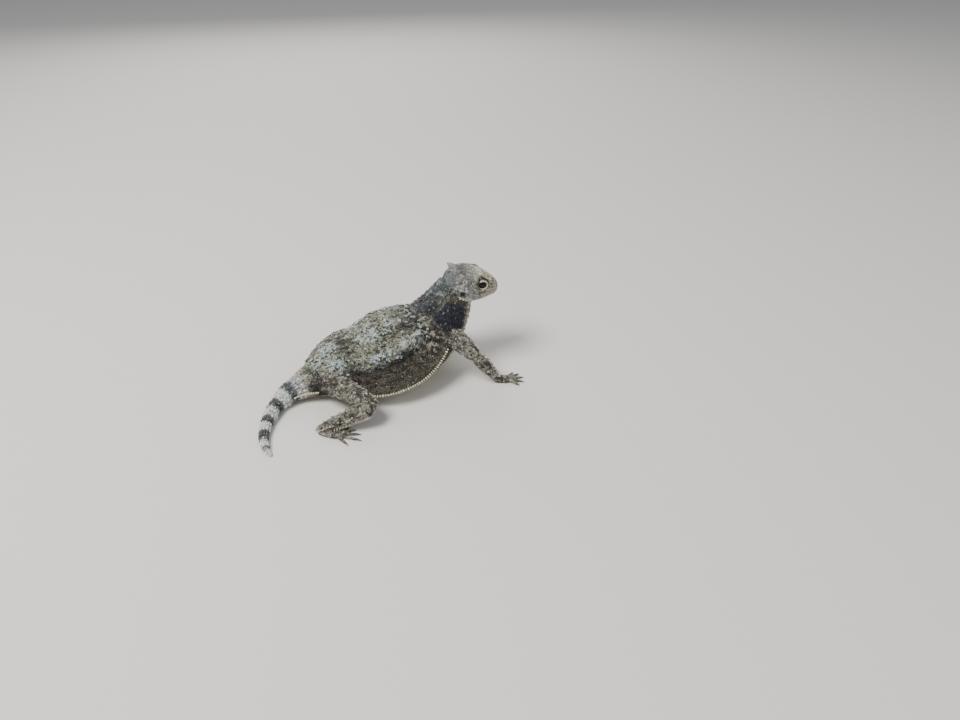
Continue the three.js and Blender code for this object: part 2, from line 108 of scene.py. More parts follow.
EYE_RADIUS = 1.45
LID_RADIUS = 1.85
LID_OPENING = np.array([1.26, 1.1])
# Each horn: its root and its way out on the left side, its length and its radius.
HORNS = {
    "occipital": [(0.5, 1.9, 3.9), (-0.7, 0.2, 0.65), 1.25, 0.85],
    "temporal": [(0.8, 4.8, 2.9), (-0.75, 0.5, 0.35), 1.55, 0.85],
}
print("stations along the head:", len(HEAD), "horns on each side:", len(HORNS))

# %% Each leg: its upper joint, its knee or elbow, its ankle, how far it bows out, where it points
LEGS = {
    "hind_right": [(3.5, -2.5, 6.2), (12.7, -20.8, 5.8), (-1.8, -18.6, 1.4), 0, -33],
    "hind_left": [(3.5, 3.0, 6.2), (17.4, 18.0, 5.6), (4.2, 14.9, 1.4), 1.8, 26],
    "fore_right": [(39.5, -5.0, 13.6), (44.7, -14.3, 8.4), (49.8, -16.6, 1.4), 0, -14],
    "fore_left": [(39.5, 5.0, 13.6), (40.7, 15.9, 9.0), (44.3, 17.9, 1.4), 0, 30],
}
# Flesh on a bone or palm: the share of the way along it, and the radius there. A toe: length, spread.
FLESH = {
    "hind": {
        "upper": [(0, 3.3), (0.3, 3.3), (0.58, 3.0), (0.82, 2.4), (0.95, 1.7), (1.02, 0.5)],
        "lower": [
            (-0.03, 0.6), (0.08, 1.95), (0.3, 2.2), (0.58, 1.85), (0.82, 1.45), (0.97, 1.1), (1.04, 0.4),
        ],
        "palm": [(-0.02, 0.7), (0.24, 1.4), (0.55, 1.8), (0.85, 1.7), (1, 1.1)],
        "palm_length": 6.2,
        "toes": [(3.0, 48), (4.2, 28), (5.6, 10), (6.4, -8), (4.2, -38)],
    },
    "fore": {
        "upper": [(0, 2.9), (0.35, 2.9), (0.62, 2.6), (0.85, 2.2), (0.97, 1.6), (1.03, 0.5)],
        "lower": [(-0.05, 0.6), (0.08, 1.8), (0.3, 1.95), (0.6, 1.6), (0.85, 1.3), (1, 0.9), (1.05, 0.4)],
        "palm": [(-0.1, 0.6), (0.15, 1.3), (0.5, 1.7), (0.83, 1.6), (1, 0.9)],
        "palm_length": 4.6,
        "toes": [(2.8, 52), (3.7, 27), (4.2, 4), (4.0, -20), (3.0, -46)],
    },
}
FOOT_HEIGHT = 1.1
TOE_RADIUS = 0.5
SOLE = 0.15
print("legs:", len(LEGS), "toes on each foot:", len(FLESH["fore"]["toes"]))

# %% [markdown]
# ## Where the tables sit
# The solids were shifted so that the floor under their middle is the origin. We could type that shift
# in, but then it would go stale when a leg moves. The right eye is a plain ball whose place the tables
# give, so the shift is measured instead: it is the difference between the eye seen and the eye told.

# %% The head's own frame, and the shift of the whole animal
HEAD_FRAME = Matrix.Translation(HEAD_PLACE) @ Euler((0, HEAD_NOD, HEAD_YAW), "XYZ").to_matrix().to_4x4()
HEAD_TURN = np.array(HEAD_FRAME.to_3x3())
HEAD_ORIGIN = np.array(HEAD_FRAME.translation)


def from_head(points):
    return np.asarray(points, float) @ HEAD_TURN.T + HEAD_ORIGIN


def to_head(points):
    return (np.asarray(points, float) - HEAD_ORIGIN) @ HEAD_TURN


def on_side(point, side):
    """A point given for the left side, on the side asked for: 1 is left, -1 is right."""
    return np.array(point) * (1, side, 1)


eye_low, eye_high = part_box("eye_right")
eye_seen = (np.array(eye_low) + np.array(eye_high)) / 2 / MM
eye_told = from_head([on_side(EYE, -1)])[0]
SHIFT = eye_seen - eye_told
SHIFT[2] = 0
print("shift of the tables in mm:", np.round(SHIFT, 3))
print("height agrees within", round(abs(eye_seen[2] - eye_told[2]), 3), "mm")

# %% [markdown]
# ## Reading a table smoothly
# Between two stations the skin follows a smooth cubic, the same one the solids use. A section is an
# ellipse made a little boxy by raising its sine and cosine to a power, then swollen or pinched where
# the animal has an edge, a fold, a lip or a brow. A few soft steps and bells describe all of these.

# %% A smooth curve through a table, and the frame that rides along it
NUDGE = 0.02
TINY = 1e-6


def read_table(rows, u):
    """The row of numbers at each place u, on a smooth cubic through the rows beside it."""
    rows = np.asarray(rows, float)
    last = len(rows) - 1
    i = np.clip(np.floor(u).astype(int), 0, last - 1)
    t = (u - i)[:, None]
    b, c = rows[i], rows[i + 1]
    a = np.where((i > 0)[:, None], rows[np.maximum(i - 1, 0)], 2 * b - c)
    d = np.where((i + 2 <= last)[:, None], rows[np.minimum(i + 2, last)], 2 * c - b)
    m0, m1 = (c - a) / 2, (d - b) / 2
    return (((2 * b - 2 * c + m0 + m1) * t - 3 * b + 3 * c - 2 * m0 - m1) * t + m0) * t + b


def unit(v):
    """Vectors of length 1."""
    return v / np.maximum(np.linalg.norm(v, axis=-1, keepdims=True), 1e-12)


def table_frames(rows, u):
    """The row at each place, and the ways forward, left and up there."""
    here = read_table(rows, u)
    ahead = read_table(rows, np.minimum(u + NUDGE, len(rows) - 1))[:, :3]
    behind = read_table(rows, np.maximum(u - NUDGE, 0))[:, :3]
    forward = unit(ahead - behind)
    left = unit(np.cross([0.0, 0.0, 1.0], forward))
    return here, forward, left, np.cross(forward, left)


print("the tail's root is at, mm:", np.round(read_table(SPINE, np.array([TAIL_ROOT]))[0, :3], 1))

# %% Soft steps and bells, the only shapes that swellings and markings are made of
def bell(x, centre, width):
    """A soft bump: 1 at the centre, and about a third one width away."""
    return np.exp(-(((x - centre) / width) ** 2))


def bells(x, rows):
    """Several bumps added up, each row an amount, a centre and a width."""
    return sum(amount * bell(x, centre, width) for amount, centre, width in rows)


def smooth(x, low, high):
    """A soft step: 0 up to low, 1 from high on."""
    t = np.clip((x - low) / (high - low), 0, 1)
    return t * t * (3 - 2 * t)


def between(x, start, full, fade, end):
    """Rises from start to full, stays at 1, and falls again from fade to end."""
    return smooth(x, start, full) * (1 - smooth(x, fade, end))


print("a bell in its middle and one width away:", bell(0, 0, 1), round(float(bell(1, 0, 1)), 2))

# %% How each part swells round its section; height runs from -90 at the belly to 90 at the back
# The rows are amount, height and width: the flank's edge, the hollow over it and the back's shoulder.
FLANK_FORM = ((0.045, 0, 9), (-0.05, 17, 12), (0.03, 42, 14))
FOLD_SPAN = (11.0, 12.6, 16.6, 17.8)
FOLD_FORM = ((0.035, 47, 6), (-0.07, 34, 6))
TAIL_BEAD, TAIL_BEAD_LENGTH = 0.13, 0.42
LIP_SWELL, BROW_SWELL = 0.02, 0.07


def even(height, extra, u):
    return np.ones_like(height)


def swell_trunk(height, extra, u):
    beads = TAIL_BEAD * sum(bell(u, band, TAIL_BEAD_LENGTH) for band in TAIL_BANDS[:4])
    fold = between(u, *FOLD_SPAN) * bells(height, FOLD_FORM)
    return 1 + extra[:, 0] * bells(height, FLANK_FORM) + np.where(u < TAIL_ROOT, beads, 0) + fold


def swell_face(height, extra, u):
    mouth, brow = extra[:, 0], extra[:, 1]
    return 1 + LIP_SWELL * mouth * bell(height, 0, 8) + BROW_SWELL * brow * bell(height, 42, 15)


# Each section: the powers of its cosine and sine, below 1 for a boxy shape, and how it swells.
SECTIONS = {
    "round": (1, 1, even),
    "trunk": (0.92, 0.88, swell_trunk),
    "skull": (0.72, 0.74, swell_face),
}


def height_of(angle):
    """How high an angle is round a section, in degrees: -90 is below and 90 above."""
    return np.degrees(np.arcsin(np.clip(np.sin(angle), -1, 1)))


def skin_points(rows, u, angle, section, grow=0.0):
    """Points of the skin at places along and angles round a table, and the way forward there."""
    across, along, swell = SECTIONS[section]
    here, forward, left, up = table_frames(rows, u)
    sine, cosine = np.sin(angle), np.cos(angle)
    size = swell(height_of(angle), here[:, 6:], u)
    wide = (here[:, 3] * size + grow) * np.sign(cosine) * np.abs(cosine) ** across
    reach = np.where(sine > 0, here[:, 4], here[:, 5]) * size + grow
    tall = reach * np.sign(sine) * np.abs(sine) ** along
    return here[:, :3] + left * wide[:, None] + up * tall[:, None], forward


print("sections:", list(SECTIONS))

# %% [markdown]
# ## Forms
# Each form is one closed bag of skin: the whole back from tail to neck, the head, two bones a leg, a
# palm and its toes. A form keeps, for each of its points, which part it belongs to, its place along
# and round the part, and which way the scales lie there. Later every point of the finished skin
# looks up its nearest form point to learn the same things. Metaballs could make such bags too, but
# they remember nothing about where on the animal a point is.

# %% A form from a table
TRUNK, FACE, LIMB, PAW, CREST = range(5)
COAT_DEPTH = 0.1
forms = []


def tube_faces(rings, sides, base=0, closed=False):
    """Quads between neighbouring rings of points; a closed tube also joins the last to the first."""
    faces = []
    for i in range(rings if closed else rings - 1):
        a, b = base + i * sides, base + (i + 1) % rings * sides
        faces += [(a + j, a + (j + 1) % sides, b + (j + 1) % sides, b + j) for j in range(sides)]
    return faces


def add_form(name, part, rows, rings, sides, section="round", lie=-1, carry=None, limb=0):
    """Keep one bag of skin; carry takes a table's own frame to the body's."""
    u = np.repeat(np.linspace(0, len(rows) - 1, rings + 1), sides)
    angle = np.tile(np.arange(sides) / sides * math.tau, rings + 1)
    points, forward = skin_points(rows, u, angle, section, -COAT_DEPTH)
    ends = np.array([rows[0][:3], rows[-1][:3]], float)
    faces = tube_faces(rings + 1, sides)
    tip, last_ring = (rings + 1) * sides, rings * sides
    faces += [(tip, (j + 1) % sides, j) for j in range(sides)]
    faces += [(tip + 1, last_ring + j, last_ring + (j + 1) % sides) for j in range(sides)]
    place = carry or (lambda p: p)
    origin = place(np.zeros((1, 3)))[0]
    forms.append({
        "name": name, "part": part, "limb": limb, "faces": faces,
        "points": place(np.vstack([points, ends])),
        "u": u, "angle": angle, "lie": (place(forward) - origin) * lie,
    })


add_form("back", TRUNK, SPINE, 210, 96, "trunk")
add_form("head", FACE, HEAD, 90, 64, "skull", carry=from_head)
print("forms:", [(form["name"], len(form["points"])) for form in forms])


# %% [markdown]
# ## Legs and feet
# A leg is two bones that meet at the knee. The flesh is thickest near the body, and the toes lie on
# the floor, a little arched. A palm is flat below and domed above. All four feet come from the same
# functions, because what differs between them is only a few lengths and angles.

# %% Bones
FLESH_ABOVE, FLESH_BELOW = 0.96, 0.94


def bone_table(start, end, flesh, bow):
    """Stations of the flesh along a bone, which may bow out from the body in its middle."""
    start, end = np.array(start, float), np.array(end, float)
    outward = math.copysign(bow, end[1])
    table = []
    for share, radius in flesh:
        place = start + (end - start) * share
        place[1] += outward * math.sin(min(max(share, 0), 1) * math.pi)
        table.append([*place, radius, radius * FLESH_ABOVE, radius * FLESH_BELOW])
    return table


print("stations of a hind thigh:", len(FLESH["hind"]["upper"]))

# %% Palms and toes
# A toe's stations: the share of its length, the height of its middle, the share of its full radius.
TOE_STATIONS = [(-0.2, 0.5, 1.05), (0.15, 0.6, 1.1), (0.45, 0.47, 0.95), (0.74, 0.42, 0.85), (0.8, 0.42, 0.5)]
TOE_ROOT, TOE_GAP = 0.86, 1.15
PALM_SLOPE, PALM_MIDDLE = 0.5, 0.9
claw_roots = []


def heading_ways(heading):
    """The way a foot or a toe points along the floor, and the way to its left."""
    cosine, sine = math.cos(heading), math.sin(heading)
    return np.array([cosine, sine, 0]), np.array([-sine, cosine, 0])


def toe_table(root, heading, length):
    way, _ = heading_ways(heading)
    table = []
    for share, height, size in TOE_STATIONS:
        place = root + way * length * share
        table.append([*place[:2], height, *[TOE_RADIUS * size] * 3])
    return table


def add_foot(name, ankle, heading, flesh, limb):
    side = math.copysign(1, ankle[1])
    forward, across = heading_ways(heading)
    heel = np.array([ankle[0], ankle[1], 0.0])
    palm = []
    for share, radius in flesh["palm"]:
        height = FOOT_HEIGHT * (1 - PALM_SLOPE * share)
        place = heel + forward * flesh["palm_length"] * share
        palm.append([place[0], place[1], height * PALM_MIDDLE, radius, height, height + SOLE])
    add_form(name + "_palm", PAW, palm, 24, 20, lie=1, limb=limb)
    for i, (length, spread) in enumerate(flesh["toes"]):
        root = heel + forward * flesh["palm_length"] * TOE_ROOT - across * side * (1 - i / 2) * TOE_GAP
        way = heading - side * math.radians(spread)
        add_form(f"{name}_toe_{i}", PAW, toe_table(root, way, length), 20, 12, lie=1, limb=limb)
        claw_roots.append((root, way, length))


leg_bones = []
for limb, (name, (hip, knee, ankle, bow, heading)) in enumerate(LEGS.items()):
    flesh = FLESH[name.split("_")[0]]
    bones = {
        "upper": bone_table(hip, knee, flesh["upper"], bow),
        "lower": bone_table(knee, ankle, flesh["lower"], 0),
    }
    leg_bones.append(bones)
    add_form(name + "_upper", LIMB, bones["upper"], 44, 30, lie=1, limb=limb)
    add_form(name + "_lower", LIMB, bones["lower"], 40, 26, lie=1, limb=limb)
    add_foot(name, ankle, math.radians(heading), flesh, limb)
print("forms with the legs:", len(forms), "claws to come:", len(claw_roots))

# %% [markdown]
# ## One skin
# The bags of skin overlap where the animal's parts join. Boolean unions would join them too, but with
# a sharp crease at every joint. A voxel remesh melts them into one surface with no seam, as real skin
# has none. It leaves small steps, which a few rounds of smoothing take out.


# %% Meshes from lists of numbers, and back
def link_object(name, data):
    obj = bpy.data.objects.new(name, data)
    bpy.context.scene.collection.objects.link(obj)
    return obj


def make_object(name, points, faces):
    mesh = bpy.data.meshes.new(name)
    mesh.from_pydata(((np.asarray(points, float) + SHIFT) * MM).tolist(), [], faces)
    mesh.update()
    return link_object(name, mesh)


def apply_modifiers(obj):
    graph = bpy.context.evaluated_depsgraph_get()
    mesh = bpy.data.meshes.new_from_object(obj.evaluated_get(graph))
    old = obj.data
    obj.modifiers.clear()
    obj.data = mesh
    bpy.data.meshes.remove(old)


def read_vectors(items, field):
    values = np.empty(len(items) * 3)
    items.foreach_get(field, values)
    return values.reshape(-1, 3)


def table_points(mesh):
    return read_vectors(mesh.vertices, "co") / MM - SHIFT


# %% Join the forms and melt them into one
VOXEL = 0.2
RELAX, RELAX_ROUNDS = 0.5, 6
all_points, all_faces, start = [], [], 0
for form in forms:
    all_points.append(form["points"])
    all_faces += [tuple(i + start for i in f) for f in form["faces"]]
    start += len(form["points"])
skin = make_object("skin", np.vstack(all_points), all_faces)
melt = skin.modifiers.new("melt", "REMESH")
melt.mode = "VOXEL"
melt.voxel_size = VOXEL * MM
relax = skin.modifiers.new("relax", "SMOOTH")
relax.factor = RELAX
relax.iterations = RELAX_ROUNDS
apply_modifiers(skin)
print("skin points:", len(skin.data.vertices), "faces:", len(skin.data.polygons))

# %% [markdown]
# ## Knowing where each point is
# Colour, folds and scales all depend on the place: the flank is dark, the belly pale, the tail banded.
# Vertex groups painted by hand would do for a few areas, but not for smooth changes. A search tree
# over the forms' own points tells every skin point its part, its place along and round it, and the
# way the scales lie.


# %% The map from any point to its place on the animal
def search_tree(points):
    tree = KDTree(len(points))
    for i, point in enumerate(points):
        tree.insert(point, i)
    tree.balance()
    return tree


def nearest(tree, points):
    return np.array([tree.find(point)[1] for point in points])


def along_forms(key):
    """One value for each point of the forms; a part or a limb is the same for a whole form."""
    return np.concatenate([np.full(len(f["u"]), f[key]) if np.isscalar(f[key]) else f[key] for f in forms])


guide = {key: along_forms(key) for key in ("part", "limb", "u", "angle", "lie")}
guide["height"] = height_of(guide["angle"])
guide_tree = search_tree(np.vstack([f["points"][: len(f["u"])] for f in forms]))
near = nearest(guide_tree, table_points(skin.data))
skin_place = {key: values[near] for key, values in guide.items()}
part, u, height = skin_place["part"], skin_place["u"], skin_place["height"]
print("skin points on the back:", int((part == TRUNK).sum()), "of", len(part))


# %% [markdown]
# ## Loose skin
# Living skin is loose: it gathers at the neck and the armpits, and it shows soft lumps. A bump in the
# material would shade such folds but leave the outline straight. So smooth noise moves the points
# themselves, along the surface's own direction. The last number of each call is only a seed.

# %% Smooth noise in space, from a hashed lattice
HASH = (73856093, 19349663, 83492791)
SEED_HASH, MIX_HASH = 2654435761, 1274126177
MAIN, DETAIL, DETAIL_SIZE = 0.65, 0.35, 0.45
WARP = 1.3
SLANT = np.array([[0.45, 0.25, 0], [-0.25, 0.95, 0], [0, 0, 0.9]])


def noise_at(points, size, seed):
    """Smooth noise from -1 to 1, with a new value about every size mm."""
    cell = points / size
    low = np.floor(cell).astype(np.int64)
    t = cell - low
    t = t * t * (3 - 2 * t)
    total = np.zeros(len(points))
    for corner in range(8):
        step = np.array([corner & 1, corner >> 1 & 1, corner >> 2 & 1])
        at = low + step
        mix = at[:, 0] * HASH[0] ^ at[:, 1] * HASH[1] ^ at[:, 2] * HASH[2] ^ (seed * SEED_HASH)
        mix = (mix ^ (mix >> 13)) * MIX_HASH & 0x7FFFFFFF
        mix = (mix ^ (mix >> 15)) & 0xFFFF
        total += mix / 0xFFFF * np.prod(np.where(step, t, 1 - t), axis=1)
    return total * 2 - 1


def rough_noise(points, size, seed):
    """Noise with a finer one on it."""
    return MAIN * noise_at(points, size, seed) + DETAIL * noise_at(points, size * DETAIL_SIZE, seed + 7)


def lumps_at(points):
    """Folds of loose skin that run a little slantwise along the back: 1 on a ridge, -1 in a hollow."""
    warp = WARP * np.column_stack([noise_at(points, 4.5, seed) for seed in (61, 62, 63)])
    return rough_noise((points + warp) @ SLANT, 2.3, 64)


print("noise at three places:", np.round(noise_at(np.array([[1.0, 2, 3], [4, 5, 6], [7, 8, 9]]), 2.5, 1), 2))

# %% Lift the skin: lumps on the back, rings on the neck, gathers at the armpit, pleats on the flank
COARSE, FINE = 0.08, 0.05
LUMP, NECK_RING, ARMPIT_GATHER, FLANK_PLEAT = 0.42, 0.16, 0.14, 0.12
NECK_RATE, ARMPIT_RATE, PLEAT_RATE = 17, 21, 0.42
PAW_SHARE = 0.4
points = table_points(skin.data)
normals = read_vectors(skin.data.vertex_normals, "vector")
on_trunk = part == TRUNK
lift = COARSE * rough_noise(points, 1.7, 3) + FINE * noise_at(points, 0.7, 5)
back = smooth(height, 20, 45) * smooth(u, 8.5, 10)
lift += on_trunk * back * LUMP * lumps_at(points)
neck = bell(u, 19.3, 1.2)
lift += on_trunk * neck * NECK_RING * np.sin(u * NECK_RATE + 1.4 * noise_at(points, 3.0, 9))
armpit = bell(u, 17.4, 0.9) * bell(height, 8, 22)
lift += on_trunk * armpit * ARMPIT_GATHER * np.sin(u * ARMPIT_RATE + height * 0.05)
flank = bell(height, 20, 14) * between(u, 11, 12.5, 16, 17.5)
lift += on_trunk * flank * FLANK_PLEAT * np.sin(height * PLEAT_RATE + 2.2 * noise_at(points, 4.0, 12))
lift *= np.where(part == PAW, PAW_SHARE, 1)
points += normals * lift[:, None]
print("lifted at most", round(float(np.abs(lift).max()), 2), "mm")

# %% [markdown]
# ## The face
# The head gets the most care, because that is where we look. Its relief is a short list of soft
# pushes: a place, a size and a height. The eye's lids are a low ball of skin with an almond opening,
# and the mouth is a thin groove with a lip on each side. Nostrils and ears are small pits. Sculpting
# would be freer, but these numbers can be checked against the animal and stay the same on both sides.

# %% The face's relief: brows, cheek hollows, the raised rear of the crown and the temples
# Each row: the centre on the left side, the size along x, y and z, and how far the skin is pushed out.
FACE_BUMPS = [
    ((6.4, 3.9, 3.6), (2.0, 0.8, 0.7), 0.4),
    ((9.8, 2.7, 2.5), (1.5, 0.7, 0.6), 0.22),
    ((9.2, 4.5, 0.6), (1.3, 0.9, 0.7), -0.16),
    ((0.9, 1.7, 4.0), (1.3, 1.2, 0.9), 0.55),
    ((1.2, 5.4, 2.0), (1.3, 1.0, 1.2), 0.35),
    ((3.6, 5.9, -1.6), (1.8, 1.0, 0.9), 0.28),
    ((3.4, 0, 4.4), (1.6, 1.0, 0.9), -0.28),
    ((12.2, 0.9, 1.9), (0.8, 0.7, 0.6), 0.12),
]
face_points = to_head(points)
face_normals = normals @ HEAD_TURN
on_face = part == FACE
for side in (-1, 1):
    for centre, size, amount in FACE_BUMPS:
        away = (face_points - on_side(centre, side)) / size
        push = amount * np.exp(-(away**2).sum(1)) * on_face
        face_points += face_normals * push[:, None]
print("face points:", int(on_face.sum()), "bumps on each side:", len(FACE_BUMPS))

# %% Lids: a ball of skin over each eye, opened where the eye looks out
# The opening's edge is ring 1. Points between the two snap limits are drawn to it, for a clean edge.
LID_BACK, SOCKET_DEPTH, LID_BLEND = -0.6, 0.2, 0.86
SNAP_FROM, SNAP_TO, SNAP_RING, SNAP_LEFT = 0.72, 1.3, 1.02, 0.35
for side in (-1, 1):
    offset = face_points - on_side(EYE, side)
    outward = offset[:, 1] * side
    across = np.hypot(offset[:, 0], offset[:, 2])
    ring = np.hypot(offset[:, 0] / LID_OPENING[0], offset[:, 2] / LID_OPENING[1])
    near = on_face & (across < LID_RADIUS) & (outward > LID_BACK)
    ball = np.sqrt(np.maximum(LID_RADIUS**2 - across**2, 0))
    target = np.where(ring < 1, SOCKET_DEPTH, np.maximum(outward, ball))
    blend = np.where(ring < 1, 1, 1 - smooth(across, LID_RADIUS * LID_BLEND, LID_RADIUS))
    outward = np.where(near, outward + (target - outward) * blend, outward)
    face_points[:, 1] = np.where(near, EYE[1] * side + outward * side, face_points[:, 1])
    snap = near & (ring > SNAP_FROM) & (ring < SNAP_TO)
    scale = (SNAP_RING + (ring - SNAP_RING) * SNAP_LEFT) / np.maximum(ring, TINY)
    for axis in (0, 2):
        snapped = EYE[axis] + offset[:, axis] * scale
        face_points[:, axis] = np.where(snap, snapped, face_points[:, axis])
print("points of the left lid:", int(near.sum()), "drawn to its edge:", int(snap.sum()))

# %% Mouth, nostrils and ears, pressed into the face
# Each pit: its place on the left side, its depth and its radius; the nostril first, then the ear.
PITS = [((12.3, 1.5, 1.25), 0.4, 0.32), ((1.6, 6.3, -0.6), 0.5, 0.6)]
MOUTH_DEPTH, MOUTH_LINE, MOUTH_WIDTH = 0.34, -0.1, 0.17
LIP_ROWS = ((0.1, 0.5, 0.24), (0.1, -0.62, 0.26))
INWARD = (0.6, 1, 0.2)
LOWEST = 0.02
mouth = smooth(face_points[:, 0], 4.2, 6.0) * on_face
groove = MOUTH_DEPTH * bell(face_points[:, 2], MOUTH_LINE, MOUTH_WIDTH) - bells(face_points[:, 2], LIP_ROWS)
face_points -= unit(face_points * INWARD + TINY) * (mouth * groove)[:, None]
for side in (-1, 1):
    for spot, depth, size in PITS:
        spot = on_side(spot, side)
        away = np.linalg.norm(face_points - spot, axis=1)
        face_points -= (on_face * depth * bell(away, 0, size))[:, None] * unit(spot)
points = np.where(on_face[:, None], from_head(face_points), points)
points[:, 2] = np.maximum(points[:, 2], LOWEST)
skin.data.vertices.foreach_set("co", ((points + SHIFT) * MM).ravel())
skin.data.update()
print("pits:", 2 * len(PITS), "lowest point of the skin, mm:", round(float(points[:, 2].min()), 3))

# %% [markdown]
# ## Markings
# The animal's colours hide it. The back is grey-olive with dark specks, pale blue-white patches run
# along the fold over a darker flank, and a cream comb edges the belly. The neck and groin are nearly
# black, and the tail has white bands. A painted picture would need an unwrap and would blur between
# scales. Instead one function gives the colour for any place, so the skin and the scales on it always
# agree. A marking is a colour and its share, and each is laid over the ones before it.
# Some layers are painted shade and light, not markings: dark in the crease under the fold, in the folds'
# hollows, round the eyes and in the pits, and pale on the neck's ridges.


# %% Colours, as a painter would name them, and how markings are laid over each other
def tint(red, green, blue):
    """A colour as on a screen, each from 0 to 255, turned into amounts of light."""
    srgb = np.array([red, green, blue]) / 255
    return np.where(srgb <= 0.04045, srgb / 12.92, ((srgb + 0.055) / 1.055) ** 2.4)


SAGE, OLIVE, FROST = tint(146, 147, 128), tint(116, 115, 96), tint(190, 204, 204)
UMBER, SOOT, INK = tint(80, 74, 65), tint(34, 33, 33), tint(40, 43, 54)
CREAM, FAWN, TAUPE = tint(224, 214, 184), tint(146, 142, 130), tint(122, 112, 100)
BONE, SLATE, CHALK = tint(190, 186, 172), tint(88, 94, 99), tint(222, 226, 222)
MAUVE = tint(160, 156, 166)


def mixed(colour, other, share):
    """Another colour laid over the first ones, by a share from 0 to 1 for each."""
    return colour + (np.asarray(other) - colour) * np.clip(share, 0, 1)[:, None]


def layered(base, count, markings_and_shade):
    colour = np.tile(base, (count, 1))
    for shade, share in markings_and_shade:
        colour = mixed(colour, shade, share)
    return colour


def mirrored(points):
    return np.column_stack([points[:, 0], np.abs(points[:, 1]), points[:, 2]])


print("sage, as amounts of red, green and blue light:", np.round(SAGE, 2))

# %% The trunk: areas first, by station and by height round the body, then the markings on them, with painted shade in the hollows and painted light on the neck's ridges
def paint_trunk(points, u, height):
    cloud = rough_noise(points, 2.4, 21)
    grain, fleck = noise_at(points, 0.8, 22), noise_at(points, 0.6, 23)
    streak = noise_at(points * (0.55, 0.9, 0.45), 0.5, 26)
    lumps = lumps_at(points)
    flank = between(height, -24, -14, 36, 42)
    # Painted shade in the crease under the fold, where the fold overhangs the flank.
    shade_under_fold = bell(height, 34, 5) * between(u, 10.5, 11.5, 15.5, 17)
    along_fold = bell(height, 49, 8) * between(u, 11.6, 12.4, 17.2, 18.2) * (1 - 0.85 * bell(u, 14.55, 0.25))
    rump = between(u, 8.8, 9.5, 10.7, 11.3) * smooth(height, 15, 35)
    saddle = bell(u, 11.5, 0.42) * smooth(height, 35, 60)
    ridge = smooth(height, 66, 78) * between(u, 11.8, 12.4, 14.8, 15.8)
    withers = smooth(height, 55, 75) * smooth(u, 15.2, 16.4)
    shoulder = bell(u, 17.3, 1.3) * smooth(height, -5, 20)
    neck = smooth(u, 18.2, 18.9) * smooth(height, 25, 60)
    throat = smooth(u, 17.8, 18.6) * (1 - smooth(height, -18, -2))
    neck_patch = bell(u, 19.2, 1.05) * bell(height, 13, 38)
    groin = bell(u, 9.0, 1.15) * bell(height, 4, 32)
    return layered(SAGE, len(u), [
        (OLIVE, smooth(cloud, -0.3, 0.5) * 0.85),
        (UMBER, flank * (0.9 + 0.1 * grain)),
        # painted shadow in the crease under the fold
        (SOOT, shade_under_fold * 0.75),
        (FROST, along_fold * smooth(cloud + 0.6 * grain, -0.25, 0.25)),
        (FROST * 0.85, rump * smooth(cloud + 0.6 * grain, -0.35, 0.2) * 0.9),
        (SLATE * 0.7, saddle * smooth(cloud, -0.5, 0.1) * 0.85),
        (FROST, ridge * smooth(cloud + 0.8 * grain, -0.2, 0.35) * 0.8),
        (SLATE, withers * 0.65),
        (BONE, shoulder * smooth(streak, 0.0, 0.3) * 0.85),
        (SOOT, shoulder * smooth(-streak, 0.1, 0.4) * 0.75),
        # painted shade in the hollows between the back's folds
        (SOOT, smooth(-lumps, 0.08, 0.4) * smooth(height, 30, 45) * 0.7),
        (SOOT, smooth(fleck, 0.28, 0.46) * smooth(height, 5, 20) * 0.8),
        (CREAM * 0.8, 1 - smooth(height, -28, -14)),
        (SLATE * 0.5, neck * 0.8),
        # painted shade in the neck's folds, then painted light on their ridges
        (SOOT, neck * smooth(-lumps, -0.05, 0.3) * 0.6),
        (FROST * 0.55, neck * smooth(lumps, 0.1, 0.45) * 0.5),
        (TAUPE * 0.9, throat * (0.5 + 0.3 * grain)),
        (INK, smooth(neck_patch + 0.2 * cloud, 0.3, 0.6) * 0.95),
        (SOOT, smooth(groin + 0.12 * cloud, 0.2, 0.45) * 0.94),
    ])


# %% The tail: white bands with wavering edges, over a dull grey
TAIL_TIP, BAND_WIDTH = 0.1, 0.56


def paint_tail(points, u, height):
    wobble = u + 0.14 * noise_at(points, 1.2, 31)
    white = sum(bell(wobble, band, BAND_WIDTH) for band in (TAIL_TIP, *TAIL_BANDS))
    share = smooth(white, 0.35, 0.7) * (1 - 0.5 * smooth(u, 6.6, 8))
    return layered(SLATE * 0.75, len(u), [
        (TAUPE, smooth(noise_at(points, 0.9, 33), -0.1, 0.5) * 0.5),
        (CHALK, share * (0.88 + 0.12 * noise_at(points, 0.7, 34))),
        (CREAM * 0.8, (1 - smooth(height, -60, -30)) * 0.6),
    ])


tail_samples = paint_tail(np.zeros((2, 3)), np.array([TAIL_BANDS[1], 2.3]), np.full(2, 60.0))
print("tail on a band and between two:", np.round(tail_samples.mean(1), 2))


# %% The face: grey behind, cream on the snout and brow, painted shade round the eye and in the pits, and bars on the lips
# Each bar: how far before the eye it lies, below 0 for behind it, and its width.
LIP_BARS = ((-0.6, 0.35), (1.5, 0.3), (4.0, 0.25))


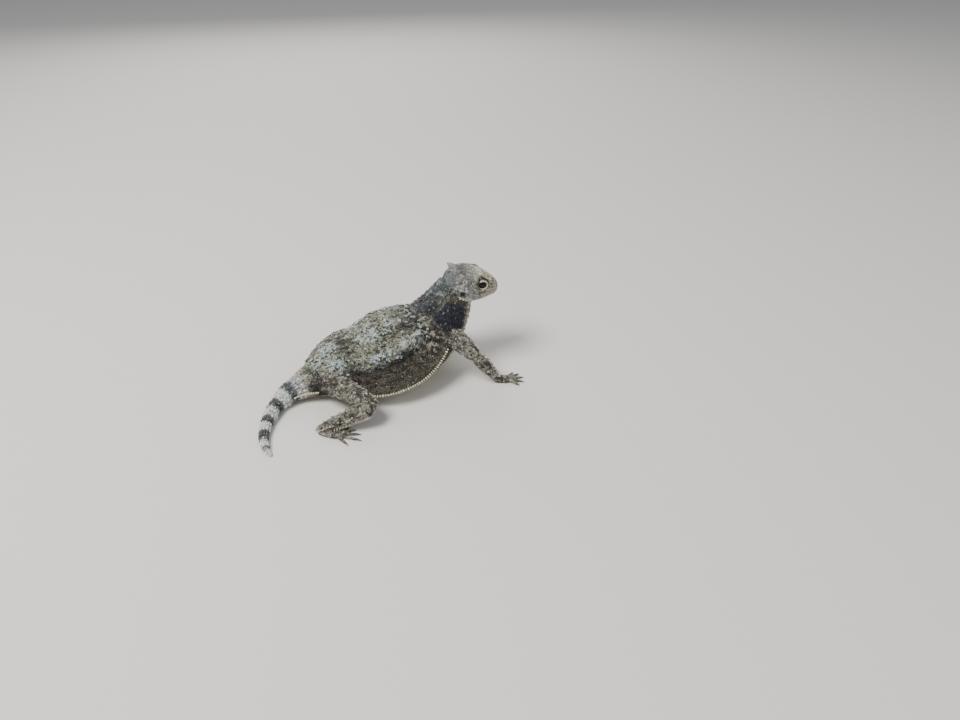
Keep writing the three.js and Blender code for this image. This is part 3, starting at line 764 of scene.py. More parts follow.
def paint_face(points, u, height):
    local = to_head(points)
    x, z = local[:, 0], local[:, 2]
    cloud = rough_noise(points, 1.6, 41)
    rear = 1 - smooth(x + 1.8 * cloud + 0.8 * noise_at(points, 0.8, 45), 1.8, 8.0)
    cheek = bell(x, 4.2, 1.6) * bell(z, -0.4, 1.2)
    brow = smooth(x, 5.5, 7.5) * smooth(z, 2.6, 3.6)
    temple = bell(x, 1.2, 1.6) * smooth(noise_at(points, 1.1, 46), 0.0, 0.4)
    beside = smooth(np.abs(local[:, 1]), 2.6, 3.6)
    # Painted shade round the eye, deeper above it under the brow.
    socket = between(np.hypot(x - EYE[0], z - EYE[2]), 1.35, 1.6, 1.9, 2.7) * beside
    lips = beside * (1 - smooth(z, 0.5, 1.3)) * 0.55
    pit_gaps = [(np.linalg.norm(mirrored(local) - spot, axis=1), size) for spot, _, size in PITS]
    return layered(BONE, len(u), [
        (TAUPE, smooth(cloud, -0.2, 0.5) * 0.7),
        (SLATE * 0.9, rear * 0.9 * smooth(height, -30, 0)),
        (MAUVE, cheek * 0.6),
        (CREAM * 0.72, smooth(x, 8.0, 10.5) * 0.55),
        (CREAM * 0.9, brow * 0.7),
        (BONE * 0.9, temple * 0.55),
        # painted shade round the eye
        (UMBER * 0.6, socket * (0.5 + 0.45 * smooth(z, 1.7, 3.0))),
        *[(SOOT, lips * bell(x + 0.45 * z, EYE[0] + ahead, width)) for ahead, width in LIP_BARS],
        (UMBER * 0.8, smooth(noise_at(points, 0.7, 44), 0.25, 0.5) * 0.65),
        # painted shade in the nostril and ear pits
        *[(SOOT * 0.5, 0.9 * bell(gap, 0, size)) for gap, size in pit_gaps],
        (CREAM * 0.75, (1 - smooth(z, -3.2, -2.0)) * 0.6),
    ])


# %% The limbs, and one function for the whole animal
GROIN, GROIN_SIZE = np.array([0.4, 5.6, 4.6]), 3.2
LIMB_SHADE = 0.68


def paint_limb(points, u, height):
    pattern = LIMB_SHADE * layered(FAWN, len(u), [
        (UMBER * 0.8, smooth(rough_noise(points, 1.7, 51), -0.05, 0.3) * 0.8),
        (BONE, smooth(noise_at(points, 0.9, 53), 0.05, 0.4) * 0.75),
        (SOOT, smooth(noise_at(points, 0.6, 54), 0.35, 0.5) * 0.6),
    ])
    pattern = mixed(pattern, CREAM * 0.8, (1 - smooth(height, -70, -40)) * 0.5)
    groin_gap = np.linalg.norm(mirrored(points) - GROIN, axis=1)
    return mixed(pattern, SOOT, 1.2 * bell(groin_gap, 0, GROIN_SIZE))


def paint(points, place):
    part, u, height = place["part"], place["u"], place["height"]
    colour = paint_limb(points, u, height)
    for chosen, painter in (
        ((part == TRUNK) & (u >= TAIL_ROOT), paint_trunk),
        ((part == TRUNK) & (u < TAIL_ROOT), paint_tail),
        (part == FACE, paint_face),
    ):
        if chosen.any():
            colour[chosen] = painter(points[chosen], u[chosen], height[chosen])
    return mixed(colour, BONE, (part == TRUNK) * bell(u, TAIL_ROOT, 0.35) * 0.3)


def set_colour(obj, colours):
    layer = obj.data.color_attributes.new("marking_and_shade", "FLOAT_COLOR", "POINT")
    four = np.column_stack([np.clip(colours, 0, 1), np.ones(len(colours))])
    layer.data.foreach_set("color", four.ravel())


# Skin between scales is darker than the scales, as if in their shade.
SKIN_SHADE = 0.28
markings_and_shade = paint(points, skin_place)
set_colour(skin, markings_and_shade * SKIN_SHADE)
print("skin painted, mean colour:", np.round(markings_and_shade.mean(0), 2))

# %% [markdown]
# ## Finishes
# Scale and skin are dry keratin: rough, with a weak sheen of reflected light. The colour comes from
# the painted markings, broken up by fine noise. The noise also gives a little bump, so that even the
# skin between two scales isn't flat. One recipe makes both finishes, as they differ in degree only.


# %% The parts of a finish
def start_material(name, roughness, specular):
    material = bpy.data.materials.new(name)
    material.use_nodes = True
    nodes, links = material.node_tree.nodes, material.node_tree.links
    shader = nodes["Principled BSDF"]
    shader.inputs["Roughness"].default_value = roughness
    shader.inputs["Specular IOR Level"].default_value = specular
    return material, nodes, links, shader


def add_bump(nodes, links, shader, size, strength, distance):
    """Fine grain of a size in mm that lifts the surface; gives back the grain, to colour with."""
    place = nodes.new("ShaderNodeTexCoord")
    grain = nodes.new("ShaderNodeTexNoise")
    grain.inputs["Scale"].default_value = 1 / (size * MM)
    grain.inputs["Detail"].default_value = 4
    bump = nodes.new("ShaderNodeBump")
    bump.inputs["Strength"].default_value = strength
    bump.inputs["Distance"].default_value = distance * MM
    links.new(place.outputs["Object"], grain.inputs["Vector"])
    links.new(grain.outputs["Fac"], bump.inputs["Height"])
    links.new(bump.outputs["Normal"], shader.inputs["Normal"])
    return grain.outputs["Fac"]


def remap(nodes, links, value, low, high, out_low, out_high):
    node = nodes.new("ShaderNodeMapRange")
    for name, number in zip(("From Min", "From Max", "To Min", "To Max"), (low, high, out_low, out_high)):
        node.inputs[name].default_value = number
    links.new(value, node.inputs["Value"])
    return node.outputs["Result"]


def colour_ramp(nodes, links, value, target, stops):
    """Colour a socket by a value between 0 and 1, through stops of place and colour."""
    ramp = nodes.new("ShaderNodeValToRGB")
    elements = ramp.color_ramp.elements
    for element, (place, colour) in zip(list(elements), (stops[0], stops[-1])):
        element.position, element.color = place, (*colour, 1)
    for place, colour in stops[1:-1]:
        elements.new(place).color = (*colour, 1)
    links.new(value, ramp.inputs["Fac"])
    links.new(ramp.outputs["Color"], target)


# %% Painted hide
HIDE_RELIEF = 0.05
GRAIN_LOW, GRAIN_HIGH = 0.3, 0.7
POLISHED, WORN = -0.1, 0.12


def hide_material(name, roughness, specular, grain_size, bump_strength, contrast):
    material, nodes, links, shader = start_material(name, roughness, specular)
    grain = add_bump(nodes, links, shader, grain_size, bump_strength, HIDE_RELIEF)
    marking_and_shade = nodes.new("ShaderNodeAttribute")
    marking_and_shade.attribute_name = "marking_and_shade"
    shade = nodes.new("ShaderNodeVectorMath")
    shade.operation = "SCALE"
    links.new(marking_and_shade.outputs["Color"], shade.inputs[0])
    mottle = remap(nodes, links, grain, GRAIN_LOW, GRAIN_HIGH, 1 - contrast, 1 + contrast)
    links.new(mottle, shade.inputs["Scale"])
    links.new(shade.outputs["Vector"], shader.inputs["Base Color"])
    dull = remap(nodes, links, grain, 0, 1, roughness + POLISHED, min(roughness + WORN, 1))
    links.new(dull, shader.inputs["Roughness"])
    return material


def finish_mesh(obj, material):
    """Round shading and a finish."""
    obj.data.polygons.foreach_set("use_smooth", np.ones(len(obj.data.polygons), bool))
    obj.data.materials.append(material)


SKIN_FINISH = hide_material(
    "bare_skin", roughness=0.8, specular=0.25, grain_size=0.25, bump_strength=0.5, contrast=0.2
)
SCALE_FINISH = hide_material(
    "scale_keratin", roughness=0.62, specular=0.35, grain_size=0.12, bump_strength=0.35, contrast=0.16
)
finish_mesh(skin, SKIN_FINISH)
print("finishes:", [m.name for m in (SKIN_FINISH, SCALE_FINISH)])

# %% [markdown]
# ## Strewing scales
# A lizard's scales grow side by side, each on its own patch of skin. Roots thrown at random would
# clump and leave bald spots. Blender's Distribute Points on Faces has a Poisson mode that keeps
# points a set distance apart, which is just what we want. We run it once for each kind of skin, with
# that skin's own spacing, and read the points back.

# %% Poisson points on the skin
# Points offered on each square of one spacing; the Poisson mode drops those that stand too close.
OFFERED = 3.5


def strew(name, spacing, wanted, seed):
    """Points at least a spacing apart where wanted, a number for each skin point, is one."""
    choice = skin.data.attributes.new("choice_" + name, "FLOAT", "POINT")
    choice.data.foreach_set("value", wanted.astype(np.float32))
    group = bpy.data.node_groups.new("strew_" + name, "GeometryNodeTree")
    for way in ("INPUT", "OUTPUT"):
        group.interface.new_socket("Geometry", in_out=way, socket_type="NodeSocketGeometry")
    nodes, links = group.nodes, group.links
    source, target = nodes.new("NodeGroupInput"), nodes.new("NodeGroupOutput")
    pick = nodes.new("GeometryNodeInputNamedAttribute")
    pick.data_type = "FLOAT"
    pick.inputs["Name"].default_value = choice.name
    scatter = nodes.new("GeometryNodeDistributePointsOnFaces")
    scatter.distribute_method = "POISSON"
    scatter.inputs["Distance Min"].default_value = spacing * MM
    scatter.inputs["Density Max"].default_value = OFFERED / (spacing * MM) ** 2
    scatter.inputs["Seed"].default_value = seed
    as_mesh = nodes.new("GeometryNodePointsToVertices")
    links.new(source.outputs[0], scatter.inputs["Mesh"])
    links.new(pick.outputs["Attribute"], scatter.inputs["Density Factor"])
    links.new(scatter.outputs["Points"], as_mesh.inputs["Points"])
    links.new(as_mesh.outputs[0], target.inputs[0])
    modifier = skin.modifiers.new("strew", "NODES")
    modifier.node_group = group
    strewn = skin.evaluated_get(bpy.context.evaluated_depsgraph_get())
    roots = table_points(strewn.to_mesh())
    strewn.to_mesh_clear()
    skin.modifiers.remove(modifier)
    skin.data.attributes.remove(choice)
    return roots


# %% [markdown]
# ## One scale
# A scale is a small shield: its rim is sunk in the skin, it rises to a blunt or pointed tip, and the
# tip leans the way the scales lie. Six sides are enough, because there are tens of thousands. One
# scale could be modelled and instanced, but each needs its own size, lean and patch of colour. So they
# are all made at once, as long lists of numbers, and joined into a few meshes.

# %% The shield's outline and the making of many
SIDES = 6
LONGER = 1.12
TURN = np.arange(SIDES) / SIDES * math.tau
OUTLINE = np.column_stack([np.cos(TURN) * LONGER, np.sin(TURN)])
SHOULDER = 0.6
SHOULDER_RISE, SHOULDER_LEAN = 0.66, 0.35
SINK, SINK_MOST = 0.35, 0.3
PER_SHIELD = 2 * SIDES + 1
SHIELD_QUADS = np.array([(i, (i + 1) % SIDES, SIDES + (i + 1) % SIDES, SIDES + i) for i in range(SIDES)])
SHIELD_TRIS = np.array([(SIDES + i, SIDES + (i + 1) % SIDES, 2 * SIDES) for i in range(SIDES)])


def shields(roots, normals, lie, width, rise, lean, stretch=1.0, shoulder=SHOULDER):
    """The points of one shield at each root: its rim, its shoulder and its tip."""
    back = unit(lie - normals * (lie * normals).sum(1, keepdims=True))
    aside = np.cross(normals, back)
    width, rise, lean = (np.broadcast_to(v, len(roots))[:, None] for v in (width, rise, lean))

    def ring_at(reach, height, shift):
        along = OUTLINE[None, :, 0] * reach * width * stretch + shift * lean
        across = OUTLINE[None, :, 1] * reach * width
        flat = along[..., None] * back[:, None, :] + across[..., None] * aside[:, None, :]
        return roots[:, None, :] + flat + (height * rise)[..., None] * normals[:, None, :]

    sunk = -SINK * np.minimum(rise, SINK_MOST) / np.maximum(rise, TINY)
    rim = ring_at(1.0, sunk, 0.0)
    upper = ring_at(shoulder, np.full_like(rise, SHOULDER_RISE), SHOULDER_LEAN)
    tip = roots + back * lean + normals * rise
    return np.concatenate([rim, upper, tip[:, None, :]], axis=1)


print("points of one shield:", PER_SHIELD, "faces:", len(SHIELD_QUADS) + len(SHIELD_TRIS))

# %% [markdown]
# ## An address for each scale
# When a model leaves Blender its colours are painted into a picture, and each scale needs its own
# small patch there. An automatic unwrap would have to pack tens of thousands of tiny islands, and
# neighbours would land far apart. Here the skin is unrolled by its own measures instead: along the
# body one way, round it the other, with a strip for each part. A scale takes a patch at its root's
# address.

# %% The unrolled skin
# Each part: where its strip starts, how wide it is, and the last station of its tables.
BACK_STRIP = (0.02, 0.46, len(SPINE) - 1)
STRIPS = {
    TRUNK: BACK_STRIP, CREST: BACK_STRIP, FACE: (0.5, 0.16, len(HEAD) - 1), LIMB: (0.68, 0.2, 6),
    PAW: (0.9, 0.08, 4),
}
MARGIN = 0.01
PATCH = 0.003


def addresses(place):
    spot = np.zeros((len(place["u"]), 2))
    for part, (start, room, longest) in STRIPS.items():
        chosen = place["part"] == part
        share = place["u"][chosen] / longest
        if part in (LIMB, PAW):
            share = (place["limb"][chosen] + np.clip(share, 0, 1)) / len(LEGS)
        spot[chosen, 0] = MARGIN + (1 - 2 * MARGIN) * share
        spot[chosen, 1] = start + room * (place["angle"][chosen] % math.tau) / math.tau
    return np.clip(spot, PATCH, 1 - PATCH)


print("patches side by side in the back's strip:", round(BACK_STRIP[1] / PATCH))

# %% A mesh from many shields, with their colours and their patches on the unrolled skin
FLOOR_GAP = 0.01
SHIELD_PATCH = np.vstack([OUTLINE, OUTLINE * SHOULDER, [[0, 0]]]) / LONGER * PATCH / 2


def repeated(faces, count):
    return (faces[None] + (np.arange(count) * PER_SHIELD)[:, None, None]).reshape(-1, faces.shape[1])


def mesh_of_shields(name, points, colours, spots, rounded=False):
    count = len(points)
    points = np.maximum(points.reshape(-1, 3), (-np.inf, -np.inf, FLOOR_GAP))
    quads, tris = repeated(SHIELD_QUADS, count), repeated(SHIELD_TRIS, count)
    corners = np.concatenate([quads.ravel(), tris.ravel()]).astype(np.int32)
    starts = np.concatenate([np.arange(len(quads)) * 4, len(quads) * 4 + np.arange(len(tris)) * 3])
    mesh = bpy.data.meshes.new(name)
    mesh.vertices.add(len(points))
    mesh.loops.add(len(corners))
    mesh.polygons.add(len(starts))
    mesh.vertices.foreach_set("co", ((points + SHIFT) * MM).ravel())
    mesh.loops.foreach_set("vertex_index", corners)
    mesh.polygons.foreach_set("loop_start", starts.astype(np.int32))
    mesh.update(calc_edges=True)
    mesh.validate()
    mesh.polygons.foreach_set("use_smooth", np.full(len(mesh.polygons), rounded))
    on_patch = (spots[:, None, :] + SHIELD_PATCH[None]).reshape(-1, 2)
    layer = mesh.uv_layers.new(name="OFBake")
    layer.data.foreach_set("uv", on_patch[corners].ravel())
    mesh.materials.append(SCALE_FINISH)
    obj = link_object(name, mesh)
    set_colour(obj, np.repeat(colours, PER_SHIELD, axis=0))
    return obj


# %% [markdown]
# ## The coat of small scales
# The scales differ from place to place: fine grains on the face and feet, flat plates on the belly,
# rough pointed shields on the limbs, and on the back small grains with larger points among them.
# Each kind has a spacing, a size, a rise and a lean. The eyes, nostrils and ears are left clear, and
# so is the skin that touches the floor. A hair system could carry scales too, but it doesn't come
# through an export to other programs.

# %% Where each kind of skin is
EYE_CLEAR, EYE_FLATTEN, PIT_CLEAR = 1.72, 0.35, 1.5
CLEAR_OF_FLOOR = 0.14
skin_normals = read_vectors(skin.data.vertex_normals, "vector")
skin_now = table_points(skin.data)
skin_tree = search_tree(skin_now)
local = to_head(skin_now)
trunk = (part == TRUNK) & (u >= TAIL_ROOT)
eye_gaps = [np.linalg.norm((local - on_side(EYE, side)) * (1, EYE_FLATTEN, 1), axis=1) for side in (-1, 1)]
pit_gaps = [
    np.linalg.norm(local - on_side(spot, side), axis=1) / size for side in (-1, 1) for spot, _, size in PITS
]
clear_face = on_face & (np.min(eye_gaps, axis=0) > EYE_CLEAR) & (np.min(pit_gaps, axis=0) > PIT_CLEAR)
off_floor = skin_now[:, 2] > CLEAR_OF_FLOOR
# Each kind: where, its spacing, the scale's half width, rise and lean, how flat its top is, and the
# shares of dark and of white scales.
KINDS = {
    "back": (trunk & (height > 8), 0.33, 0.235, 0.13, 0.18, 0.5, 0.1, 0.045),
    "flank": (trunk & (height <= 8) & (height > -14), 0.3, 0.21, 0.1, 0.15, 0.5, 0.1, 0.03),
    "belly": (trunk & (height <= -14), 0.42, 0.3, 0.06, 0.13, 0.75, 0.04, 0.1),
    "tail": ((part == TRUNK) & (u < TAIL_ROOT), 0.33, 0.245, 0.15, 0.26, 0.5, 0.05, 0.08),
    "head": (clear_face, 0.33, 0.25, 0.08, 0.05, 0.74, 0.05, 0.06),
    "limbs": (part == LIMB, 0.34, 0.255, 0.17, 0.3, 0.5, 0.08, 0.12),
    "feet": (part == PAW, 0.27, 0.185, 0.07, 0.11, 0.6, 0.07, 0.1),
}
print("kinds of scales:", len(KINDS), "skin points clear on the face:", int(clear_face.sum()))

# %% A little chance in size and colour; every draw comes from one seeded generator, so it repeats
CHANCE_SEED = 7
UNEVEN, DARKEN, WHITEN = 0.16, 0.85, 0.5
BRIGHT_ENOUGH, LEAST_WHITE = 0.2, 0.35
draw = np.random.default_rng(CHANCE_SEED)


def place_scales(roots):
    """The place on the animal and the way out of the skin at each root."""
    near = nearest(skin_tree, roots)
    return {key: values[near] for key, values in skin_place.items()}, skin_normals[near]


def speckle(colours, dark, white):
    """Colours made uneven, with a share of dark scales and one of white, dimmer where all is dark."""
    count = len(colours)
    colours = colours * np.clip(1 + draw.normal(0, UNEVEN, count), 0.5, 1.5)[:, None]
    throw = draw.random(count)
    colours = mixed(colours, SOOT, (throw < dark) * DARKEN)
    pale = WHITEN * np.clip(colours.mean(1) / BRIGHT_ENOUGH, LEAST_WHITE, 1)
    return mixed(colours, CHALK, (throw > 1 - white) * pale)


# %% Make the coat
FIRST_SEED = 100
WITH_LARGE, LARGE_SHARE = ("back", "limbs", "tail"), 0.09
LARGE_SIZE, LARGE_RISE, LARGE_LEAN = 1.5, 2.2, 1.6
SIZE_RANGE, RISE_RANGE, LEAN_RANGE = (0.82, 1.2), (0.6, 1.5), (0.7, 1.3)
NECK_LOWER = 0.45
CROWN_SIZE, SNOUT_SMALLER, CROWN_RISE, SNOUT_LOWER = 1.12, 0.35, 1.25, 0.5
FLAT_ENOUGH = 0.7
coat = []
for number, (kind, (wanted, spacing, width, rise, lean, flat, *specks)) in enumerate(KINDS.items()):
    roots = strew(kind, spacing, wanted & off_floor, FIRST_SEED + number)
    place, normals = place_scales(roots)
    count = len(roots)
    size = width * draw.uniform(*SIZE_RANGE, count)
    stand = rise * draw.uniform(*RISE_RANGE, count)
    tips = lean * draw.uniform(*LEAN_RANGE, count)
    if kind in WITH_LARGE:
        large = draw.random(count) < LARGE_SHARE
        size *= np.where(large, LARGE_SIZE, 1)
        stand *= np.where(large, LARGE_RISE, 1)
        tips *= np.where(large, LARGE_LEAN, 1)
    if kind == "back":
        stand *= 1 - NECK_LOWER * smooth(place["u"], 18.2, 19.0)
    colours = speckle(paint(roots, place), *specks)
    if kind == "head":
        snout = smooth(to_head(roots)[:, 0], 5.0, 9.0)
        size *= CROWN_SIZE - SNOUT_SMALLER * snout
        stand *= CROWN_RISE - SNOUT_LOWER * snout
    points = shields(roots, normals, place["lie"], size, stand, tips, shoulder=flat)
    coat.append(mesh_of_shields(f"scales_{kind}", points, colours, addresses(place), flat > FLAT_ENOUGH))
    print(kind, "scales:", count)

# %% [markdown]
# ## Points and combs
# Some scales make rows of their own: the cream comb along the flank, the fringe at the root of the
# tail, whorls on each tail bead, pale points on the limbs, brows, temples and jaw. Strewn roots can't
# make a row. So these are set on the tables themselves, at known places, and a little uneven, as on
# any animal.

# %% Rows of pointed scales on a table
BACK = {"rows": SPINE, "part": CREST, "section": "trunk"}
SKULL = {"rows": HEAD, "part": FACE, "section": "skull"}
JITTER = (0.85, 1.15)
TONE_SPREAD, TONE_LIMITS = 0.1, (0.7, 1.3)
spikes = []


def on_track(rows, u, angle, section):
    """Roots on a table's skin, the way out of it, and the way forward."""
    root, forward = skin_points(rows, u, angle, section, -COAT_DEPTH)
    round_step = skin_points(rows, u, angle + NUDGE, section, -COAT_DEPTH)[0] - root
    ahead = np.minimum(u + NUDGE, len(rows) - 1.001)
    onward = skin_points(rows, ahead, angle, section, -COAT_DEPTH)[0] - root
    return root, unit(np.cross(round_step, onward)), forward


def add_spikes(track, u, angle, width, rise, lean, colour, lie=-1, limb=0, long=1.0):
    u = np.atleast_1d(u).astype(float)
    count = len(u)
    angle = np.broadcast_to(np.asarray(angle, float), count)
    root, normal, forward = on_track(track["rows"], u, angle, track["section"])
    lie_way = forward * lie
    if track["part"] == FACE:
        root, normal, lie_way = from_head(root), normal @ HEAD_TURN.T, lie_way @ HEAD_TURN.T
    jitter = draw.uniform(*JITTER, (3, count))
    points = shields(root, normal, lie_way, width * jitter[0], rise * jitter[1], lean * jitter[2], long)
    tone = colour * np.clip(1 + draw.normal(0, TONE_SPREAD, count), *TONE_LIMITS)[:, None]
    place = {"part": np.full(count, track["part"]), "u": u, "angle": angle, "limb": np.full(count, limb)}
    spikes.append((points, tone, addresses(place)))


def spike_count():
    return sum(len(points) for points, _, _ in spikes)


def turned(height, plain):
    """The angle of a height on one side of a section; the other side's is its mirror image."""
    return math.radians(height if plain else 180 - height)


# %% The comb along each flank, and the fringe at the tail's root
COMB_START, COMB_END, COMB_SPACING = 11.0, 17.55, 0.15
for side in (math.pi, 0.0):
    u = np.arange(COMB_START, COMB_END, COMB_SPACING)
    taper = 0.75 + 0.25 * np.sin((u - COMB_START) / (COMB_END - COMB_START) * math.pi)
    add_spikes(BACK, u, side, width=0.2, rise=1.0 * taper, lean=0.22, colour=CREAM * 1.15)
    add_spikes(BACK, np.arange(7.1, 9.2, 0.17), side, width=0.21, rise=0.8, lean=0.3, colour=CREAM)
print("combs along the flanks and the tail's root:", spike_count(), "teeth")

# %% Larger points strewn over the back, and whorls on the tail's beads
NECK = 18
for station in np.arange(9.6, 19.6, 0.55):
    angles = np.radians(np.arange(28, 156, 13) + draw.uniform(-5, 5, 10))
    u = station + draw.uniform(-0.22, 0.22, len(angles))
    width = draw.uniform(0.22, 0.38, len(angles)) * (1 if station < NECK else 0.75)
    pale = FROST * (0.85 if station < NECK else 0.4)
    tone = mixed(np.tile(UMBER * 0.8, (len(u), 1)), pale, draw.random(len(u)) < 0.5)
    add_spikes(BACK, u, angles, width=width, rise=width * 1.5, lean=0.5, colour=tone, long=1.25)
for station in np.arange(1.0, 8.4, 0.42):
    angles = np.radians(np.arange(-20, 201, 31.5)) + draw.uniform(-0.1, 0.1)
    white = sum(bell(station, band, 0.5) for band in TAIL_BANDS) > 0.5
    u = np.full(len(angles), station)
    add_spikes(BACK, u, angles, width=0.34, rise=0.36, lean=0.34, colour=CHALK if white else SLATE)
print("with the back's points and the tail's whorls:", spike_count())

# %% Points of the head: temples, brows, the jaw's edge and the lips' plates
# Each temple point: its station, its height, its half width and its rise.
TEMPLE_POINTS = ((1.45, 17, 0.46, 1.15), (2.1, 5, 0.42, 0.9), (0.9, 30, 0.42, 0.7))
BROW_HEIGHT, JAW_HEIGHT, LIP_HEIGHTS = 53, -24, (4.5, -5.0)
for left in (True, False):
    for station, at, width, rise in TEMPLE_POINTS:
        add_spikes(SKULL, station, turned(at, left), width=width, rise=rise, lean=0.85, colour=BONE * 0.8)
    u = np.arange(2.7, 6.0, 0.3) + draw.uniform(-0.05, 0.05, 11)
    tone = mixed(np.tile(BONE * 0.6, (len(u), 1)), CREAM * 0.9, smooth(u, 2.8, 4.4))
    width = draw.uniform(0.24, 0.36, len(u))
    add_spikes(SKULL, u, turned(BROW_HEIGHT, left), width=width, rise=0.3, lean=0.22, colour=tone)
    u = np.arange(1.6, 7.0, 0.36)
    rise = 0.35 + 0.3 * np.linspace(1, 0, len(u))
    add_spikes(SKULL, u, turned(JAW_HEIGHT, left), width=0.36, rise=rise, lean=0.22, colour=BONE)
    for at in LIP_HEIGHTS:
        u = np.arange(3.4, 8.5, 0.25)
        angle = turned(at, left)
        add_spikes(SKULL, u, angle, width=0.25, rise=0.09, lean=0.03, colour=BONE * 0.95, long=1.2)
print("with the head's points:", spike_count())

# %% Pale points along the limbs, and a comb under each hind shin
# Each bone: its first and last station with points, and the rows' heights and rises.
LIMB_ROWS = {
    "hind": {
        "upper": (1.6, 4.4, ((14, 0.5), (45, 0.4), (-18, 0.5))),
        "lower": (1.2, 5.2, ((-62, 0.5), (20, 0.4))),
    },
    "fore": {
        "upper": (1.6, 4.5, ((-14, 0.6), (14, 0.75), (45, 0.5))),
        "lower": (1.0, 4.8, ((58, 0.6), (84, 0.75), (20, 0.4))),
    },
}
SHIN_COMB_HEIGHT = -36
for limb, name in enumerate(LEGS):
    kind, side = name.split("_")
    on_right = side == "right"
    bones = leg_bones[limb]
    tracks = {bone: {"rows": bones[bone], "part": LIMB, "section": "round"} for bone in bones}
    if kind == "hind":
        u, angle = np.arange(1.3, 4.9, 0.2), turned(SHIN_COMB_HEIGHT, on_right)
        add_spikes(tracks["lower"], u, angle, width=0.2, rise=0.75, lean=0.3, colour=CREAM, lie=1, limb=limb)
    for bone, (first, last, lines) in LIMB_ROWS[kind].items():
        for at, rise in lines:
            u = np.arange(first, last, 0.22)
            u = (u + draw.uniform(-0.08, 0.08, len(u)))[draw.random(len(u)) < 0.85]
            angles = turned(at, on_right) + draw.uniform(-0.16, 0.16, len(u))
            width = (0.14 + 0.24 * rise) * draw.uniform(0.75, 1.15, len(u))
            tone = mixed(np.tile(CREAM * 0.9, (len(u), 1)), FAWN, draw.random(len(u)) * 0.8)
            add_spikes(
                tracks[bone], u, angles, width=width, rise=rise, lean=0.5, colour=tone, lie=1, limb=limb
            )
coat.append(mesh_of_shields("pointed_scales", *(np.concatenate(column) for column in zip(*spikes))))
print("pointed scales:", spike_count())

# %% [markdown]
# ## Horns
# The horns are bone in a sheath of keratin, ringed like a fingernail that grows. A cone primitive has
# no rings and a straight side, so each horn is a lathe shape: a profile turned round its own axis,
# fine enough for its rings to show. It stands on its stump of skull.

# %% Horn material, mottled between slate and pale bone by fine noise
horn_finish, nodes, links, shader = start_material("horn_keratin", roughness=0.5, specular=0.4)
grain = add_bump(nodes, links, shader, size=0.5, strength=0.15, distance=0.03)
colour_ramp(nodes, links, grain, shader.inputs["Base Color"], [(0.3, SLATE * 1.15), (0.7, BONE * 0.65)])
print("horn finish:", horn_finish.name)

# %% The horns' shape
HORN_STUMP, HORN_LIFT, HORN_TIP = -0.75, 0.2, 0.05
HORN_BASE, HORN_TAPER, HORN_CURVE = 1.06, 0.85, 1.35
RING_DEPTH, RING_RATE = 0.016, 40
HORN_STATIONS, HORN_SIDES = 40, 20


def lathe(profile, sides):
    turn = np.arange(sides) / sides * math.tau
    points = np.array([(r * math.cos(a), r * math.sin(a), z) for r, z in profile for a in turn])
    last = (len(profile) - 1) * sides
    caps = [tuple(range(sides))[::-1], tuple(range(last, last + sides))]
    return points, tube_faces(len(profile), sides) + caps


def horn_profile(length, radius):
    shares = np.linspace(HORN_STUMP, 1, HORN_STATIONS)
    free = np.maximum(shares, 0)
    rings = RING_DEPTH * np.sin(free * RING_RATE) * (1 - free)
    sizes = radius * (HORN_BASE - HORN_TAPER * free**HORN_CURVE) + rings
    sizes[-1] = HORN_TIP
    return [(max(size, HORN_TIP), share * length + HORN_LIFT) for size, share in zip(sizes, shares)]


def turn_to(way):
    return np.array(Vector((0, 0, 1)).rotation_difference(Vector(way)).to_matrix())


for kind, (root, way, length, radius) in HORNS.items():
    for word, side in (("right", -1), ("left", 1)):
        points, faces = lathe(horn_profile(length, radius), HORN_SIDES)
        aim = Vector(on_side(way, side)).normalized()
        local = points @ turn_to(aim).T + on_side(root, side)
        horn = make_object(f"{kind}_horn_{word}", from_head(local), faces)
        finish_mesh(horn, horn_finish)
        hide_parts(f"horn_{kind}_{word}")
        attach(horn, "root")
print("horns:", 2 * len(HORNS))

# %% [markdown]
# ## Eyes
# The eye is a wet dark ball. Its colour is worked out from the distance to the middle of the pupil:
# a black pupil, a thin gold-brown iris and a darker rim. A picture of an eye would do the same job,
# but a few stops on a ramp stay sharp at any size.

# %% The eye's finish: pupil and iris by distance from the middle of its front
eye_finish, nodes, links, shader = start_material("wet_eye", roughness=0.07, specular=0.15)
shader.inputs["Coat Weight"].default_value = 0.2
shader.inputs["Coat Roughness"].default_value = 0.03
pupil_way = nodes.new("ShaderNodeAttribute")
pupil_way.attribute_name = "from_pupil"
BLACK, RIM_BROWN = (0.004, 0.004, 0.005), (0.02, 0.014, 0.01)
GOLD_BROWN, BROWN = (0.06, 0.036, 0.018), (0.025, 0.016, 0.01)
colour_ramp(nodes, links, pupil_way.outputs["Fac"], shader.inputs["Base Color"], [
    (0.0, BLACK), (0.5, BLACK), (0.55, GOLD_BROWN), (0.7, BROWN), (1.0, RIM_BROWN),
])
print("eye finish:", eye_finish.name)

# %% Eyeballs, which look a little forward and up
LOOK = (0.12, 1, 0.05)
POLE = 0.02
EYE_STATIONS, EYE_SIDES = 40, 48
for word, side in (("right", -1), ("left", 1)):
    arc = np.linspace(POLE, math.pi - POLE, EYE_STATIONS)
    points, faces = lathe([(EYE_RADIUS * math.sin(a), -EYE_RADIUS * math.cos(a)) for a in arc], EYE_SIDES)
    local = points @ turn_to(on_side(LOOK, side)).T + on_side(EYE, side)
    eyeball = make_object(f"eyeball_{word}", from_head(local), faces)
    distance = np.linalg.norm(points[:, :2], axis=1) / EYE_RADIUS
    distance[points[:, 2] < 0] = 1
    layer = eyeball.data.attributes.new("from_pupil", "FLOAT", "POINT")
    layer.data.foreach_set("value", distance.astype(np.float32))
    finish_mesh(eyeball, eye_finish)
    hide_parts(f"eye_{word}")
    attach(eyeball, "root")
print("eyeballs of radius, mm:", EYE_RADIUS)

